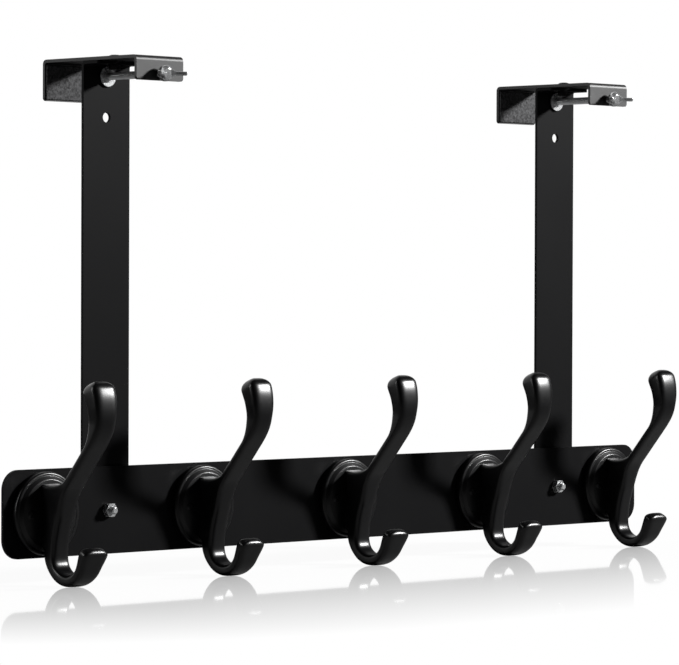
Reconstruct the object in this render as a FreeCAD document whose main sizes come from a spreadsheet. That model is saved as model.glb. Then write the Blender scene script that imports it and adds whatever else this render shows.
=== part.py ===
import FreeCAD, Part
import math
import os
import Sketcher

# Over-door hook rack. A flat rail with five cast double hooks hangs from two straps. Each strap is
# bent forward at its top into a tab, and a slotted channel slides on that tab and reaches over the
# door. A wing screw through the channel's front flange bears on the strap and clamps the door.
#
# Frame: X along the rail, Y backwards into the door, Z up. The origin is midway between the two
# round holes near the straps' tops, on the straps' back faces, which lie against the door.

SIZES = [
    ("rail_margin", 31.5, "from an outer hook's middle to the rail's end"),
    ("rail_height", 54.0, "rail, bottom edge to top edge"),
    ("rail_thickness", 2.0, "rail sheet"),
    ("rail_corner", 12.0, "radius of the rail's four corners"),
    ("rail_drop", 215.0, "from the straps' holes down to the rail's top edge"),
    ("strap_width", 38.0, "strap"),
    ("strap_thickness", 2.0, "strap sheet"),
    ("strap_inset", 52.5, "from an outer hook's middle in to the strap's centre line"),
    ("strap_foot", 6.0, "from the strap's lower end down to the rail's bottom edge"),
    ("strap_foot_corner", 4.0, "radius of the strap's lower corners"),
    ("strap_hole_radius", 3.1, "round hole near the strap's top"),
    ("tab_reach", 16.0, "tab, from the strap's back face forwards"),
    ("tab_bend", 1.0, "inner radius of the bend between strap and tab"),
    ("tab_corner", 3.0, "radius of the tab's front corners"),
    ("channel_thickness", 2.0, "channel sheet"),
    ("channel_width", 38.4, "channel strip"),
    ("channel_bend", 1.0, "inner radius of the channel's bends"),
    ("channel_top", 36.2, "channel's upper face above the straps' holes"),
    ("channel_corner", 2.0, "radius of the flanges' lower corners"),
    ("door_gap", 34.0, "from the strap's back face to the back flange, screw fully in"),
    ("clamp_reach", 48.5, "from the strap's back face forwards to the front flange"),
    ("back_flange", 25.5, "back flange, down from the channel's upper face"),
    ("front_flange", 15.2, "front flange, down from the channel's upper face"),
    ("slide_gap", 0.1, "play between the channel and what it slides on"),
    ("channel_travel", 17.0, "how far the channel slides back on its slot"),
    ("foam_thickness", 1.0, "foam pad on the back flange"),
    ("foam_top_gap", 0.5, "from the channel's bend down to the foam pad"),
    ("foam_inset", 1.0, "foam pad's edge from the sides and the foot of the back flange"),
    ("tab_screw_reach", 9.5, "from the strap's back face forwards to the tab screw"),
    ("tab_screw_radius", 2.0, "tab screw's shank"),
    ("tab_head_radius", 4.0, "tab screw's head"),
    ("tab_head_height", 2.0, "tab screw's head"),
    ("tab_head_edge", 0.8, "upright edge of the tab screw's head"),
    ("tab_head_shoulder", 1.6, "height of the head's shoulder"),
    ("tab_shoulder_radius", 3.4, "shoulder of the tab screw's head"),
    ("tab_crown_radius", 2.2, "flat top of the tab screw's head"),
    ("tab_nut_flats", 7.0, "tab nut across its flats"),
    ("tab_nut_height", 3.2, "tab nut"),
    ("screw_clearance", 0.15, "between a still screw and its hole"),
    ("cut_margin", 1.0, "how far a cutting outline runs past the piece"),
    ("running_clearance", 0.08, "between a turning screw and its hole"),
    ("clamp_drop", 11.0, "from the channel's upper face down to the wing screw's axis"),
    ("clamp_radius", 2.4, "wing screw's shank"),
    ("clamp_neck_radius", 1.5, "wing screw's end, held in the pressure pad"),
    ("clamp_neck_length", 2.2, "wing screw's end"),
    ("pad_radius", 6.4, "pressure pad"),
    ("pad_thickness", 1.6, "pressure pad's disc"),
    ("pad_bevel", 0.8, "bevel round the pressure pad"),
    ("pad_collar_radius", 3.4, "collar on the pressure pad"),
    ("pad_collar_height", 1.4, "collar on the pressure pad"),
    ("hub_radius", 4.9, "wing screw's hub"),
    ("hub_length", 6.6, "wing screw's hub along its axis"),
    ("hub_standoff", 1.6, "from the front flange to the hub, screw fully in"),
    ("wing_span", 13.0, "from the axis to a wing's outer edge"),
    ("wing_rise", 10.4, "from the hub's back end forwards to a wing's outer edge"),
    ("wing_thickness", 2.9, "wing"),
    ("wing_round", 1.1, "radius of a wing's outline"),
    ("wing_root", 5.8, "from the axis to where a wing's thick root ends"),
    ("wing_inner", 2.0, "from the axis to a wing's inner end, inside the hub"),
    ("wing_foot", 0.3, "from the hub's back end to the wings"),
    ("wing_corner", 8.0, "from the hub's back end to a wing's outer corner"),
    ("wing_crown", 9.5, "from the axis to the inner corner of a wing's end"),
    ("wing_valley", 4.6, "from the hub's back end to where the wings meet the hub's face"),
    ("root_inner", 2.7, "half the width of the flat beside the hub"),
    ("root_side", 3.9, "from the axis to that flat"),
    ("hub_shoulder", 4.6, "from the hub's back end to where it narrows"),
    ("hub_face_radius", 3.5, "hub's front face"),
    ("bolt_radius", 2.5, "rail bolt"),
    ("bolt_head_radius", 4.5, "rail bolt's countersunk head, flush with the strap's back"),
    ("bolt_reach", 3.2, "rail bolt's end in front of its nut"),
    ("bolt_chamfer", 0.7, "chamfer at the bolt's end"),
    ("bolt_nut_flats", 8.0, "rail nut across its flats"),
    ("bolt_nut_height", 4.0, "rail nut"),
    ("hook_spacing", 130.5, "between neighbouring hooks"),
    ("rosette_radius", 25.5, "hook's round base"),
    ("rosette_rim", 5.0, "rosette's rim, off the rail"),
    ("boss_radius", 20.0, "raised middle of the rosette"),
    ("boss_height", 6.6, "raised middle of the rosette, off the rail"),
    ("crown_height", 7.6, "rosette's crown, off the rail"),
    ("rim_round", 1.8, "rounding of the rosette's rim"),
    ("boss_round", 1.4, "rounding of the raised middle"),
    ("belly_reach", 12.2, "from the rail to the hook's centre line where it comes nearest"),
    ("belly_drop", 23.9, "from the rosette's centre down to that nearest place"),
    ("belly_radius", 64.9, "hook's back bend, centre line"),
    ("belly_degrees", 40.3, "degrees turned on the back bend"),
    ("arm_length", 28.3, "straight stretch of the upper arm"),
    ("crest_radius", 33.1, "upper arm's reverse bend, centre line"),
    ("crest_degrees", 60.2, "degrees turned on the reverse bend"),
    ("tip_length", 9.1, "from the reverse bend to the tip's end"),
    ("curl_radius", 15.6, "lower arm's curl, centre line"),
    ("curl_degrees", 152.7, "degrees turned on the curl"),
    ("curl_end", 13.7, "from the curl to the lower tip's end"),
    ("tip_width", 18.6, "upper tip, side to side"),
    ("tip_depth", 13.0, "upper tip, front to back"),
    ("crest_depth", 10.0, "upper arm on its reverse bend, front to back"),
    ("arm_width", 15.6, "upper arm, side to side"),
    ("arm_depth", 4.6, "upper arm, front to back"),
    ("belly_width", 13.8, "back bend, side to side"),
    ("belly_depth", 11.4, "back bend, front to back"),
    ("curl_depth", 7.1, "curl, front to back"),
    ("curl_tip_width", 19.2, "lower tip, side to side"),
    ("curl_tip_depth", 7.7, "lower tip, front to back"),
    ("shoulder_width", 17.7, "between bulb and arm, seen from the front"),
    ("shoulder_depth", 11.4, "between bulb and arm, seen from the side"),
    ("lip_width", 16.5, "below the lower tip, seen from the front"),
    ("lip_depth", 7.3, "below the lower tip, seen from the side"),
    ("tip_round", 4.6, "rounding of the upper tip's end"),
    ("curl_tip_round", 2.8, "rounding of the lower tip's end"),
    ("section_corner", 0.42, "a section's corner radius as a share of its depth"),
    ("neck_root", 2.5, "from the rail to the neck's back, inside the rosette"),
    ("neck_width", 12.5, "neck between rosette and hook, side to side"),
    ("neck_height", 31.0, "neck where it leaves the rosette, up and down"),
    ("neck_climb", 14.0, "how far the neck runs up the straight stretch of the upper arm"),
    ("neck_sweep", 30.0, "radius of the neck's swept upper edge"),
    ("neck_round", 2.5, "rounding of the neck's swept edge"),
    ("hook_screw_reach", 14.5, "from the hook's middle to a hook screw"),
    ("hook_screw_radius", 2.0, "hook screw's shank"),
    ("hook_head_radius", 3.6, "hook screw's head"),
    ("hook_head_height", 1.5, "hook screw's head"),
    ("hook_head_edge", 0.6, "upright edge of the hook screw's head"),
    ("hook_crown_radius", 2.2, "flat top of the hook screw's head"),
    ("hook_screw_chamfer", 0.6, "chamfer at the hook screw's end"),
    ("hook_seat_depth", 0.6, "spot face that a hook screw's head sits in"),
    ("hook_screw_end", 1.0, "hook screw's end behind the rail"),
]

HOOKS = 5
SIDES = {"left": -1, "right": 1}
HOOK_ROW = f"({HOOKS - 1} * sizes.hook_spacing / 2)"
RAIL_HALF = f"({HOOK_ROW} + sizes.rail_margin)"
STRAP_PLACE = f"({HOOK_ROW} - sizes.strap_inset)"

doc = FreeCAD.newDocument("over_door_hook_rack")
sheet = doc.addObject("Spreadsheet::Sheet", "sizes")
for row, (alias, value, meaning) in enumerate(SIZES, start=1):
    sheet.set(f"A{row}", meaning)
    sheet.set(f"B{row}", str(value))
    sheet.setAlias(f"B{row}", alias)
doc.recompute()


def size(name):
    """a driving size from the sheet"""
    return float(sheet.get(name))


# Helpers

def new_body(label):
    body = doc.addObject("PartDesign::Body", label)
    body.Label = label
    return body


def place(body, turn=None, **where):
    """puts a body at named places of the sheet, after an optional (axis, degrees) turn"""
    if turn:
        body.Placement = FreeCAD.Placement(FreeCAD.Vector(), FreeCAD.Rotation(*turn))
    for axis, expression in where.items():
        body.setExpression(f"Placement.Base.{axis}", expression)


FACE_FRONT = (FreeCAD.Vector(1, 0, 0), 90)  # a body's own +Z then points forwards, its +Y up


def new_sketch(body, name, role, offset=None):
    """a sketch on one of the body's own origin planes, moved along its normal by an expression"""
    sketch = body.newObject("Sketcher::SketchObject", f"{body.Label}_{name}")
    plane = [part for part in body.Origin.OriginFeatures if part.Role == role][0]
    sketch.AttachmentSupport = [(plane, "")]
    sketch.MapMode = "FlatFace"
    if offset:
        sketch.setExpression("AttachmentOffset.Base.z", offset)
    return sketch


def number(text):
    """the value of an expression, for a first position of what the expression then drives"""
    value = sheet.evalExpression(text)
    return float(getattr(value, "Value", value))


def hold(sketch, kind, where, expression):
    """a dimension of the sketch, driven by an expression"""
    index = sketch.addConstraint(Sketcher.Constraint(kind, *where, number(expression)))
    sketch.setExpression(f"Constraints[{index}]", expression)


def arc_between(here, there, radius):
    """the short arc that bulges to the right of the way from here to there"""
    chord = there - here
    rise = math.sqrt(radius ** 2 - (chord.Length / 2) ** 2)
    left = FreeCAD.Vector(-chord.y, chord.x, 0).normalize()
    centre = (here + there) * 0.5 + left * rise
    start = math.atan2(here.y - centre.y, here.x - centre.x)
    end = math.atan2(there.y - centre.y, there.x - centre.x)
    return Part.ArcOfCircle(Part.Circle(centre, FreeCAD.Vector(0, 0, 1), radius), start, end)


def draw_outline(sketch, corners, arcs=None):
    """a closed outline from corners given as pairs of expressions

    arcs gives the side from one corner to the next a radius: a side that starts at corner k bulges
    to the right of its way for a key of (k, 1) and to the left for (k, -1)."""
    arcs = arcs or {}
    spots = [FreeCAD.Vector(number(x), number(y), 0) for x, y in corners]
    ends = []
    for k, (here, there) in enumerate(zip(spots, spots[1:] + spots[:1])):
        if (k, 1) in arcs:
            side = sketch.addGeometry(arc_between(here, there, number(arcs[k, 1])), False)
            ends.append((side, 1, 2))
        elif (k, -1) in arcs:
            side = sketch.addGeometry(arc_between(there, here, number(arcs[k, -1])), False)
            ends.append((side, 2, 1))
        else:
            side = sketch.addGeometry(Part.LineSegment(here, there), False)
            ends.append((side, 1, 2))
    for k, (x, y) in enumerate(corners):
        side, start, _ = ends[k]
        before, _, before_end = ends[k - 1]
        sketch.addConstraint(Sketcher.Constraint("Coincident", before, before_end, side, start))
        hold(sketch, "DistanceX", (-1, 1, side, start), x)
        hold(sketch, "DistanceY", (-1, 1, side, start), y)
    for (k, _), radius in arcs.items():
        hold(sketch, "Radius", (ends[k][0],), radius)


def draw_circle(sketch, x, y, radius):
    centre = FreeCAD.Vector(number(x), number(y), 0)
    circle = sketch.addGeometry(Part.Circle(centre, FreeCAD.Vector(0, 0, 1), number(radius)), False)
    hold(sketch, "DistanceX", (-1, 1, circle, 3), x)
    hold(sketch, "DistanceY", (-1, 1, circle, 3), y)
    hold(sketch, "Radius", (circle,), radius)


def draw_rounded_bar(sketch, width, depth, corner):
    """a rectangle about the sketch's origin with four round corners"""
    w, d, r = number(width) / 2, number(depth) / 2, number(corner)
    quarter = math.pi / 2
    sides = [
        (-w + r, -d, w - r, -d),
        (w, -d + r, w, d - r),
        (w - r, d, -w + r, d),
        (-w, d - r, -w, -d + r),
    ]
    centres = [(w - r, -d + r), (w - r, d - r), (-w + r, d - r), (-w + r, -d + r)]
    up = FreeCAD.Vector(0, 0, 1)
    for k in range(4):
        x0, y0, x1, y1 = sides[k]
        sketch.addGeometry(Part.LineSegment(FreeCAD.Vector(x0, y0, 0), FreeCAD.Vector(x1, y1, 0)), False)
        circle = Part.Circle(FreeCAD.Vector(*centres[k], 0), up, r)
        sketch.addGeometry(Part.ArcOfCircle(circle, (k - 1) * quarter, k * quarter), False)
    for k in range(4):
        line, arc, after = 2 * k, 2 * k + 1, (2 * k + 2) % 8
        sketch.addConstraint(Sketcher.Constraint("Tangent", line, 2, arc, 1))
        sketch.addConstraint(Sketcher.Constraint("Tangent", arc, 2, after, 1))
        sketch.addConstraint(Sketcher.Constraint("Horizontal" if k % 2 == 0 else "Vertical", line))
    for k in range(1, 4):
        sketch.addConstraint(Sketcher.Constraint("Equal", 1, 2 * k + 1))
    sketch.addConstraint(Sketcher.Constraint("Symmetric", 0, 1, 4, 1, -1, 1))
    hold(sketch, "DistanceX", (6, 1, 2, 1), width)
    hold(sketch, "DistanceY", (0, 1, 4, 1), depth)
    hold(sketch, "Radius", (1,), corner)


def pad(body, sketch, length, midplane=False, back=False):
    feature = body.newObject("PartDesign::Pad", sketch.Name + "_pad")
    feature.Profile = sketch
    feature.setExpression("Length", length)
    feature.Midplane = midplane
    feature.Reversed = back
    doc.recompute()
    return feature


def pocket(body, sketch, back=False):
    """cuts right through, and stops if nothing was cut"""
    before = body.Shape.Volume
    feature = body.newObject("PartDesign::Pocket", sketch.Name + "_pocket")
    feature.Profile = sketch
    feature.Type = 1
    feature.Reversed = back
    doc.recompute()
    if not feature.Shape.Volume < before - 0.1:
        raise RuntimeError(f"{sketch.Name} cuts nothing")
    return feature


def revolve(body, sketch, groove=False):
    """turns a profile about the sketch's vertical axis"""
    kind = "PartDesign::Groove" if groove else "PartDesign::Revolution"
    before = body.Shape.Volume if groove else 0.0
    feature = body.newObject(kind, sketch.Name + "_turned")
    feature.Profile = sketch
    feature.ReferenceAxis = (sketch, ["V_Axis"])
    feature.Angle = 360
    doc.recompute()
    if groove and not feature.Shape.Volume < before - 0.01:
        raise RuntimeError(f"{sketch.Name} cuts nothing")
    return feature


def edges_where(shape, test):
    """names of the straight edges whose direction and middle pass the test"""
    names = []
    for k, edge in enumerate(shape.Edges, start=1):
        if isinstance(edge.Curve, Part.Line):
            along = edge.Vertexes[-1].Point - edge.Vertexes[0].Point
            if test(along.normalize(), edge.CenterOfMass):
                names.append(f"Edge{k}")
    return names


def fillet(body, names, radius):
    tip = body.Tip
    feature = body.newObject("PartDesign::Fillet", f"{tip.Name}_round")
    feature.Base = (tip, names)
    feature.setExpression("Radius", radius)
    doc.recompute()
    return feature


def near(a, b):
    return abs(a - b) < 0.01


# Flat and bent sheet: rail, straps, channels and their foam pads

def hook_places():
    """each hook's place along the rail, as an expression"""
    middle = (HOOKS - 1) / 2
    return [f"({k - middle}) * sizes.hook_spacing" for k in range(HOOKS)]


RAIL_MIDDLE = "-(sizes.rail_drop + sizes.rail_height / 2)"
RAIL_BACK = "sizes.strap_thickness"
RAIL_FRONT = "(sizes.strap_thickness + sizes.rail_thickness)"
CLAMP_HEIGHT = "(sizes.channel_top - sizes.clamp_drop)"
TAB_TOP = "(sizes.channel_top - sizes.channel_thickness - sizes.slide_gap)"


def make_rail():
    body = new_body("rail")
    x, top = RAIL_HALF, "-sizes.rail_drop"
    foot = "-(sizes.rail_drop + sizes.rail_height)"
    plate = new_sketch(body, "outline", "XZ_Plane", RAIL_BACK)
    draw_outline(plate, [(f"-{x}", foot), (x, foot), (x, top), (f"-{x}", top)])
    pad(body, plate, "sizes.rail_thickness")
    corners = edges_where(body.Shape, lambda along, middle: near(abs(along.y), 1))
    fillet(body, corners, "sizes.rail_corner")
    bolt_holes = new_sketch(body, "bolt_holes", "XZ_Plane", RAIL_BACK)
    for side in SIDES.values():
        draw_circle(bolt_holes, f"{side} * {STRAP_PLACE}", RAIL_MIDDLE,
                    "sizes.bolt_radius + sizes.screw_clearance")
    pocket(body, bolt_holes, back=True)
    screw_holes = new_sketch(body, "screw_holes", "XZ_Plane", RAIL_BACK)
    for x in hook_places():
        for side in SIDES.values():
            draw_circle(screw_holes, f"{x} + {side} * sizes.hook_screw_reach", RAIL_MIDDLE,
                        "sizes.hook_screw_radius + sizes.screw_clearance")
    pocket(body, screw_holes, back=True)
    return body


def make_strap(name, side):
    """flat strap, bent forward at its top into a tab that carries the channel"""
    body = new_body(f"strap_{name}")
    foot = "-(sizes.rail_drop + sizes.rail_height) + sizes.strap_foot"
    sheet_y, top = "-sizes.strap_thickness", TAB_TOP
    under = f"{TAB_TOP} - sizes.strap_thickness"
    profile = new_sketch(body, "profile", "YZ_Plane")
    draw_outline(profile, [
        ("0", foot),
        ("0", top),
        ("-sizes.tab_reach", top),
        ("-sizes.tab_reach", under),
        (sheet_y, under),
        (sheet_y, foot),
    ])
    pad(body, profile, "sizes.strap_width", midplane=True)
    bend_in = edges_where(body.Shape, lambda along, at: near(abs(along.x), 1)
                          and near(at.y, number(sheet_y)) and near(at.z, number(under)))
    fillet(body, bend_in, "sizes.tab_bend")
    bend_out = edges_where(body.Shape, lambda along, at: near(abs(along.x), 1)
                           and near(at.y, 0) and near(at.z, number(top)))
    fillet(body, bend_out, "sizes.tab_bend + sizes.strap_thickness")
    tab_corners = edges_where(body.Shape, lambda along, at: near(abs(along.z), 1)
                              and near(at.y, -size("tab_reach")))
    fillet(body, tab_corners, "sizes.tab_corner")
    foot_corners = edges_where(body.Shape, lambda along, at: near(abs(along.y), 1)
                               and near(at.z, number(foot)))
    fillet(body, foot_corners, "sizes.strap_foot_corner")
    hole = new_sketch(body, "hole", "XZ_Plane")
    draw_circle(hole, "0", "0", "sizes.strap_hole_radius")
    pocket(body, hole, back=True)
    sink_bolt_hole(body)
    tab_hole = new_sketch(body, "tab_hole", "XY_Plane")
    draw_circle(tab_hole, "0", "-sizes.tab_screw_reach", "sizes.tab_screw_radius + sizes.screw_clearance")
    pocket(body, tab_hole, back=True)
    place(body, x=f"{side} * {STRAP_PLACE}")
    return body


def sink_bolt_hole(body):
    """countersunk hole for the rail bolt, its wide end in the strap's back face"""
    sketch = new_sketch(body, "bolt_hole", "XZ_Plane")
    draw_circle(sketch, "0", RAIL_MIDDLE, "sizes.bolt_radius + sizes.screw_clearance")
    doc.recompute()
    before = body.Shape.Volume
    hole = body.newObject("PartDesign::Hole", f"{body.Label}_countersink")
    hole.Profile = sketch
    doc.recompute()
    hole.Threaded = False
    hole.ThreadType = 0
    hole.DepthType = 1
    hole.HoleCutType = "Countersink"
    hole.HoleCutCustomValues = True
    hole.setExpression("Diameter", "2 * (sizes.bolt_radius + sizes.screw_clearance)")
    hole.setExpression("HoleCutDiameter", "2 * (sizes.bolt_head_radius + sizes.screw_clearance)")
    hole.HoleCutCountersinkAngle = 90
    hole.Reversed = True
    doc.recompute()
    if not hole.Shape.Volume < before - 1:
        raise RuntimeError(f"{body.Label}'s countersink cuts nothing")


def make_channel(name, side):
    """strip bent into a channel: back flange behind the door, slotted top, short front flange"""
    body = new_body(f"channel_{name}")
    top, under = "sizes.channel_top", "sizes.channel_top - sizes.channel_thickness"
    back_in, front_in = "sizes.door_gap", "-sizes.clamp_reach"
    back_out = "sizes.door_gap + sizes.channel_thickness"
    front_out = "-(sizes.clamp_reach + sizes.channel_thickness)"
    back_foot = "sizes.channel_top - sizes.back_flange"
    front_foot = "sizes.channel_top - sizes.front_flange"
    profile = new_sketch(body, "profile", "YZ_Plane")
    draw_outline(profile, [
        (front_out, front_foot),
        (front_in, front_foot),
        (front_in, under),
        (back_in, under),
        (back_in, back_foot),
        (back_out, back_foot),
        (back_out, top),
        (front_out, top),
    ])
    pad(body, profile, "sizes.channel_width", midplane=True)
    inner = edges_where(body.Shape, lambda along, at: near(abs(along.x), 1)
                        and near(at.z, number(under)))
    fillet(body, inner, "sizes.channel_bend")
    outer = edges_where(body.Shape, lambda along, at: near(abs(along.x), 1)
                        and near(at.z, number(top)))
    fillet(body, outer, "sizes.channel_bend + sizes.channel_thickness")
    feet = edges_where(body.Shape, lambda along, at: near(abs(along.y), 1)
                       and (near(at.z, number(back_foot)) or near(at.z, number(front_foot))))
    fillet(body, feet, "sizes.channel_corner")
    clamp_hole = new_sketch(body, "clamp_hole", "XZ_Plane")
    draw_circle(clamp_hole, "0", CLAMP_HEIGHT, "sizes.clamp_radius + sizes.running_clearance")
    pocket(body, clamp_hole, back=True)
    cut_slot(body)
    place(body, x=f"{side} * {STRAP_PLACE}")
    return body


def cut_slot(body):
    """slot in the channel's top, as long as the travel, that the tab screw passes through"""
    slot = new_sketch(body, "slot", "XY_Plane")
    width = "sizes.tab_screw_radius + 2 * sizes.screw_clearance"
    half, back, reach = number(width), -size("tab_screw_reach"), size("channel_travel")
    up = FreeCAD.Vector(0, 0, 1)
    back_end = Part.Circle(FreeCAD.Vector(0, back, 0), up, half)
    front_end = Part.Circle(FreeCAD.Vector(0, back - reach, 0), up, half)
    left = FreeCAD.Vector(-half, back, 0), FreeCAD.Vector(-half, back - reach, 0)
    right = FreeCAD.Vector(half, back - reach, 0), FreeCAD.Vector(half, back, 0)
    slot.addGeometry(Part.ArcOfCircle(back_end, 0, math.pi), False)
    slot.addGeometry(Part.LineSegment(*left), False)
    slot.addGeometry(Part.ArcOfCircle(front_end, math.pi, 2 * math.pi), False)
    slot.addGeometry(Part.LineSegment(*right), False)
    for k in range(4):
        slot.addConstraint(Sketcher.Constraint("Tangent", k, 2, (k + 1) % 4, 1))
    slot.addConstraint(Sketcher.Constraint("PointOnObject", 0, 3, -2))
    slot.addConstraint(Sketcher.Constraint("PointOnObject", 2, 3, -2))
    hold(slot, "DistanceY", (-1, 1, 0, 3), "-sizes.tab_screw_reach")
    hold(slot, "DistanceY", (2, 3, 0, 3), "sizes.channel_travel")
    hold(slot, "Radius", (0,), width)
    pocket(body, slot, back=True)


def make_foam_pad(name, side):
    """thin foam stuck to the back flange's inner face, inset from its edges"""
    body = new_body(f"foam_pad_{name}")
    x = "(sizes.channel_width / 2 - sizes.foam_inset)"
    foot = "sizes.channel_top - sizes.back_flange + sizes.foam_inset"
    top = "sizes.channel_top - sizes.channel_thickness - sizes.channel_bend - sizes.foam_top_gap"
    face = new_sketch(body, "outline", "XZ_Plane", "-sizes.door_gap")
    draw_outline(face, [(f"-{x}", foot), (x, foot), (x, top), (f"-{x}", top)])
    pad(body, face, "sizes.foam_thickness")
    place(body, x=f"{side} * {STRAP_PLACE}")
    return body


# Clamping: wing screws and their pressure pads

def make_pressure_pad(name, side):
    """disc with a collar, in which the wing screw's end turns"""
    body = new_body(f"pressure_pad_{name}")
    collar = "sizes.pad_thickness + sizes.pad_collar_height"
    bore = "sizes.clamp_neck_radius + sizes.running_clearance"
    floor = f"{collar} - sizes.clamp_neck_length - sizes.running_clearance"
    profile = new_sketch(body, "profile", "XZ_Plane")
    draw_outline(profile, [
        ("0", "0"),
        ("sizes.pad_radius - sizes.pad_bevel", "0"),
        ("sizes.pad_radius", "sizes.pad_bevel"),
        ("sizes.pad_radius", "sizes.pad_thickness"),
        ("sizes.pad_collar_radius", "sizes.pad_thickness"),
        ("sizes.pad_collar_radius", collar),
        (bore, collar),
        (bore, floor),
        ("0", floor),
    ])
    revolve(body, profile)
    place(body, FACE_FRONT, x=f"{side} * {STRAP_PLACE}", y="-sizes.strap_thickness",
          z=CLAMP_HEIGHT)
    return body


def make_wing_screw(name, side):
    """shank, hub and two wings in one piece; its own +Z runs forwards from the strap's face"""
    body = new_body(f"wing_screw_{name}")
    shoulder = "(sizes.pad_thickness + sizes.pad_collar_height + sizes.running_clearance)"
    end = f"({shoulder} - sizes.clamp_neck_length)"
    hub = ("(sizes.clamp_reach + sizes.channel_thickness - sizes.strap_thickness"
           " + sizes.hub_standoff)")
    front = f"({hub} + sizes.hub_length)"
    profile = new_sketch(body, "profile", "XZ_Plane")
    draw_outline(profile, [
        ("0", end),
        ("sizes.clamp_neck_radius", end),
        ("sizes.clamp_neck_radius", shoulder),
        ("sizes.clamp_radius", shoulder),
        ("sizes.clamp_radius", hub),
        ("sizes.hub_radius", hub),
        ("sizes.hub_radius", f"{hub} + sizes.hub_shoulder"),
        ("sizes.hub_face_radius", front),
        ("0", front),
    ])
    revolve(body, profile)
    # the hub swells sideways into the roots of the wings
    root = new_sketch(body, "wing_root", "XY_Plane", hub)
    draw_outline(root, [
        ("sizes.wing_root", "-sizes.wing_thickness / 2"),
        ("sizes.wing_root", "sizes.wing_thickness / 2"),
        ("sizes.root_inner", "sizes.root_side"),
        ("-sizes.root_inner", "sizes.root_side"),
        ("-sizes.wing_root", "sizes.wing_thickness / 2"),
        ("-sizes.wing_root", "-sizes.wing_thickness / 2"),
        ("-sizes.root_inner", "-sizes.root_side"),
        ("sizes.root_inner", "-sizes.root_side"),
    ])
    pad(body, root, "sizes.hub_shoulder")
    wings = new_sketch(body, "wings", "XZ_Plane")
    half = [
        ("sizes.wing_inner", f"{hub} + sizes.wing_foot"),
        ("sizes.wing_root", f"{hub} + sizes.wing_foot"),
        ("sizes.wing_span", f"{hub} + sizes.wing_corner"),
        ("sizes.wing_span", f"{hub} + sizes.wing_rise"),
        ("sizes.wing_crown", f"{hub} + sizes.wing_rise"),
        ("sizes.wing_inner", f"{hub} + sizes.wing_valley"),
    ]
    draw_outline(wings, half)
    draw_outline(wings, [(f"-{x}", z) for x, z in reversed(half)])
    pad(body, wings, "sizes.wing_thickness", midplane=True)
    tips = edges_where(body.Shape, lambda along, at: near(abs(along.y), 1)
                       and at.z > number(hub) + size("wing_valley")
                       and abs(at.x) > size("wing_inner"))
    fillet(body, tips, "sizes.wing_round")
    place(body, FACE_FRONT, x=f"{side} * {STRAP_PLACE}", y="-sizes.strap_thickness",
          z=CLAMP_HEIGHT)
    return body


# Fasteners

def make_pin(label, rings):
    """a turned fastener from (radius, height) pairs, up its own +Z axis"""
    body = new_body(label)
    profile = new_sketch(body, "profile", "XZ_Plane")
    draw_outline(profile, [("0", rings[0][1]), *rings, ("0", rings[-1][1])])
    revolve(body, profile)
    return body


def make_nut(label, flats, height, bore):
    """hexagon nut with its corners turned off at both ends, up its own +Z axis"""
    body = new_body(label)
    corner = f"({flats} / sqrt(3))"
    outline = new_sketch(body, "hexagon", "XY_Plane")
    turns = [(f"({corner} * cos({60 * k}))", f"({corner} * sin({60 * k}))") for k in range(6)]
    draw_outline(outline, turns)
    pad(body, outline, height)
    hole = new_sketch(body, "hole", "XY_Plane")
    draw_circle(hole, "0", "0", bore)
    pocket(body, hole, back=True)
    wide, rest = f"({corner} + sizes.cut_margin)", f"({flats} / 2)"
    fall = f"(({wide} - {rest}) * tan(30))"
    turned = new_sketch(body, "corners", "XZ_Plane")
    draw_outline(turned, [(rest, height), (wide, height), (wide, f"{height} - {fall}")])
    draw_outline(turned, [(rest, "0"), (wide, fall), (wide, "0")])
    revolve(body, turned, groove=True)
    return body


def make_tab_fasteners(name, side):
    """low-headed screw down through the slot and the tab, and the nut below"""
    x = f"{side} * {STRAP_PLACE}"
    under = f"({TAB_TOP} - sizes.strap_thickness)"
    seat = "(sizes.channel_top + sizes.slide_gap)"
    foot = f"({under} - sizes.tab_nut_height)"
    screw = make_pin(f"tab_screw_{name}", [
        ("sizes.tab_screw_radius", foot),
        ("sizes.tab_screw_radius", seat),
        ("sizes.tab_head_radius", seat),
        ("sizes.tab_head_radius", f"{seat} + sizes.tab_head_edge"),
        ("sizes.tab_shoulder_radius", f"{seat} + sizes.tab_head_shoulder"),
        ("sizes.tab_crown_radius", f"{seat} + sizes.tab_head_height"),
    ])
    place(screw, x=x, y="-sizes.tab_screw_reach")
    nut = make_nut(f"tab_nut_{name}", "sizes.tab_nut_flats", "sizes.tab_nut_height",
                   "sizes.tab_screw_radius + sizes.screw_clearance")
    place(nut, x=x, y="-sizes.tab_screw_reach", z=foot)
    return screw, nut


def make_rail_fasteners(name, side):
    """bolt from behind the strap, through strap and rail, with its nut on the rail's front"""
    x = f"{side} * {STRAP_PLACE}"
    seat = RAIL_FRONT
    end = f"({seat} + sizes.bolt_nut_height + sizes.bolt_reach)"
    bolt = make_pin(f"rail_bolt_{name}", [
        ("sizes.bolt_head_radius", "0"),
        ("sizes.bolt_radius", "sizes.bolt_head_radius - sizes.bolt_radius"),
        ("sizes.bolt_radius", f"{end} - sizes.bolt_chamfer"),
        ("sizes.bolt_radius - sizes.bolt_chamfer", end),
    ])
    place(bolt, FACE_FRONT, x=x, z=RAIL_MIDDLE)
    nut = make_nut(f"rail_nut_{name}", "sizes.bolt_nut_flats", "sizes.bolt_nut_height",
                   "sizes.bolt_radius + sizes.screw_clearance")
    place(nut, FACE_FRONT, x=x, y=f"-{seat}", z=RAIL_MIDDLE)
    return bolt, nut


# Hooks: own +Z runs forwards off the rail, own +Y up, own origin at the rosette's centre

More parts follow.
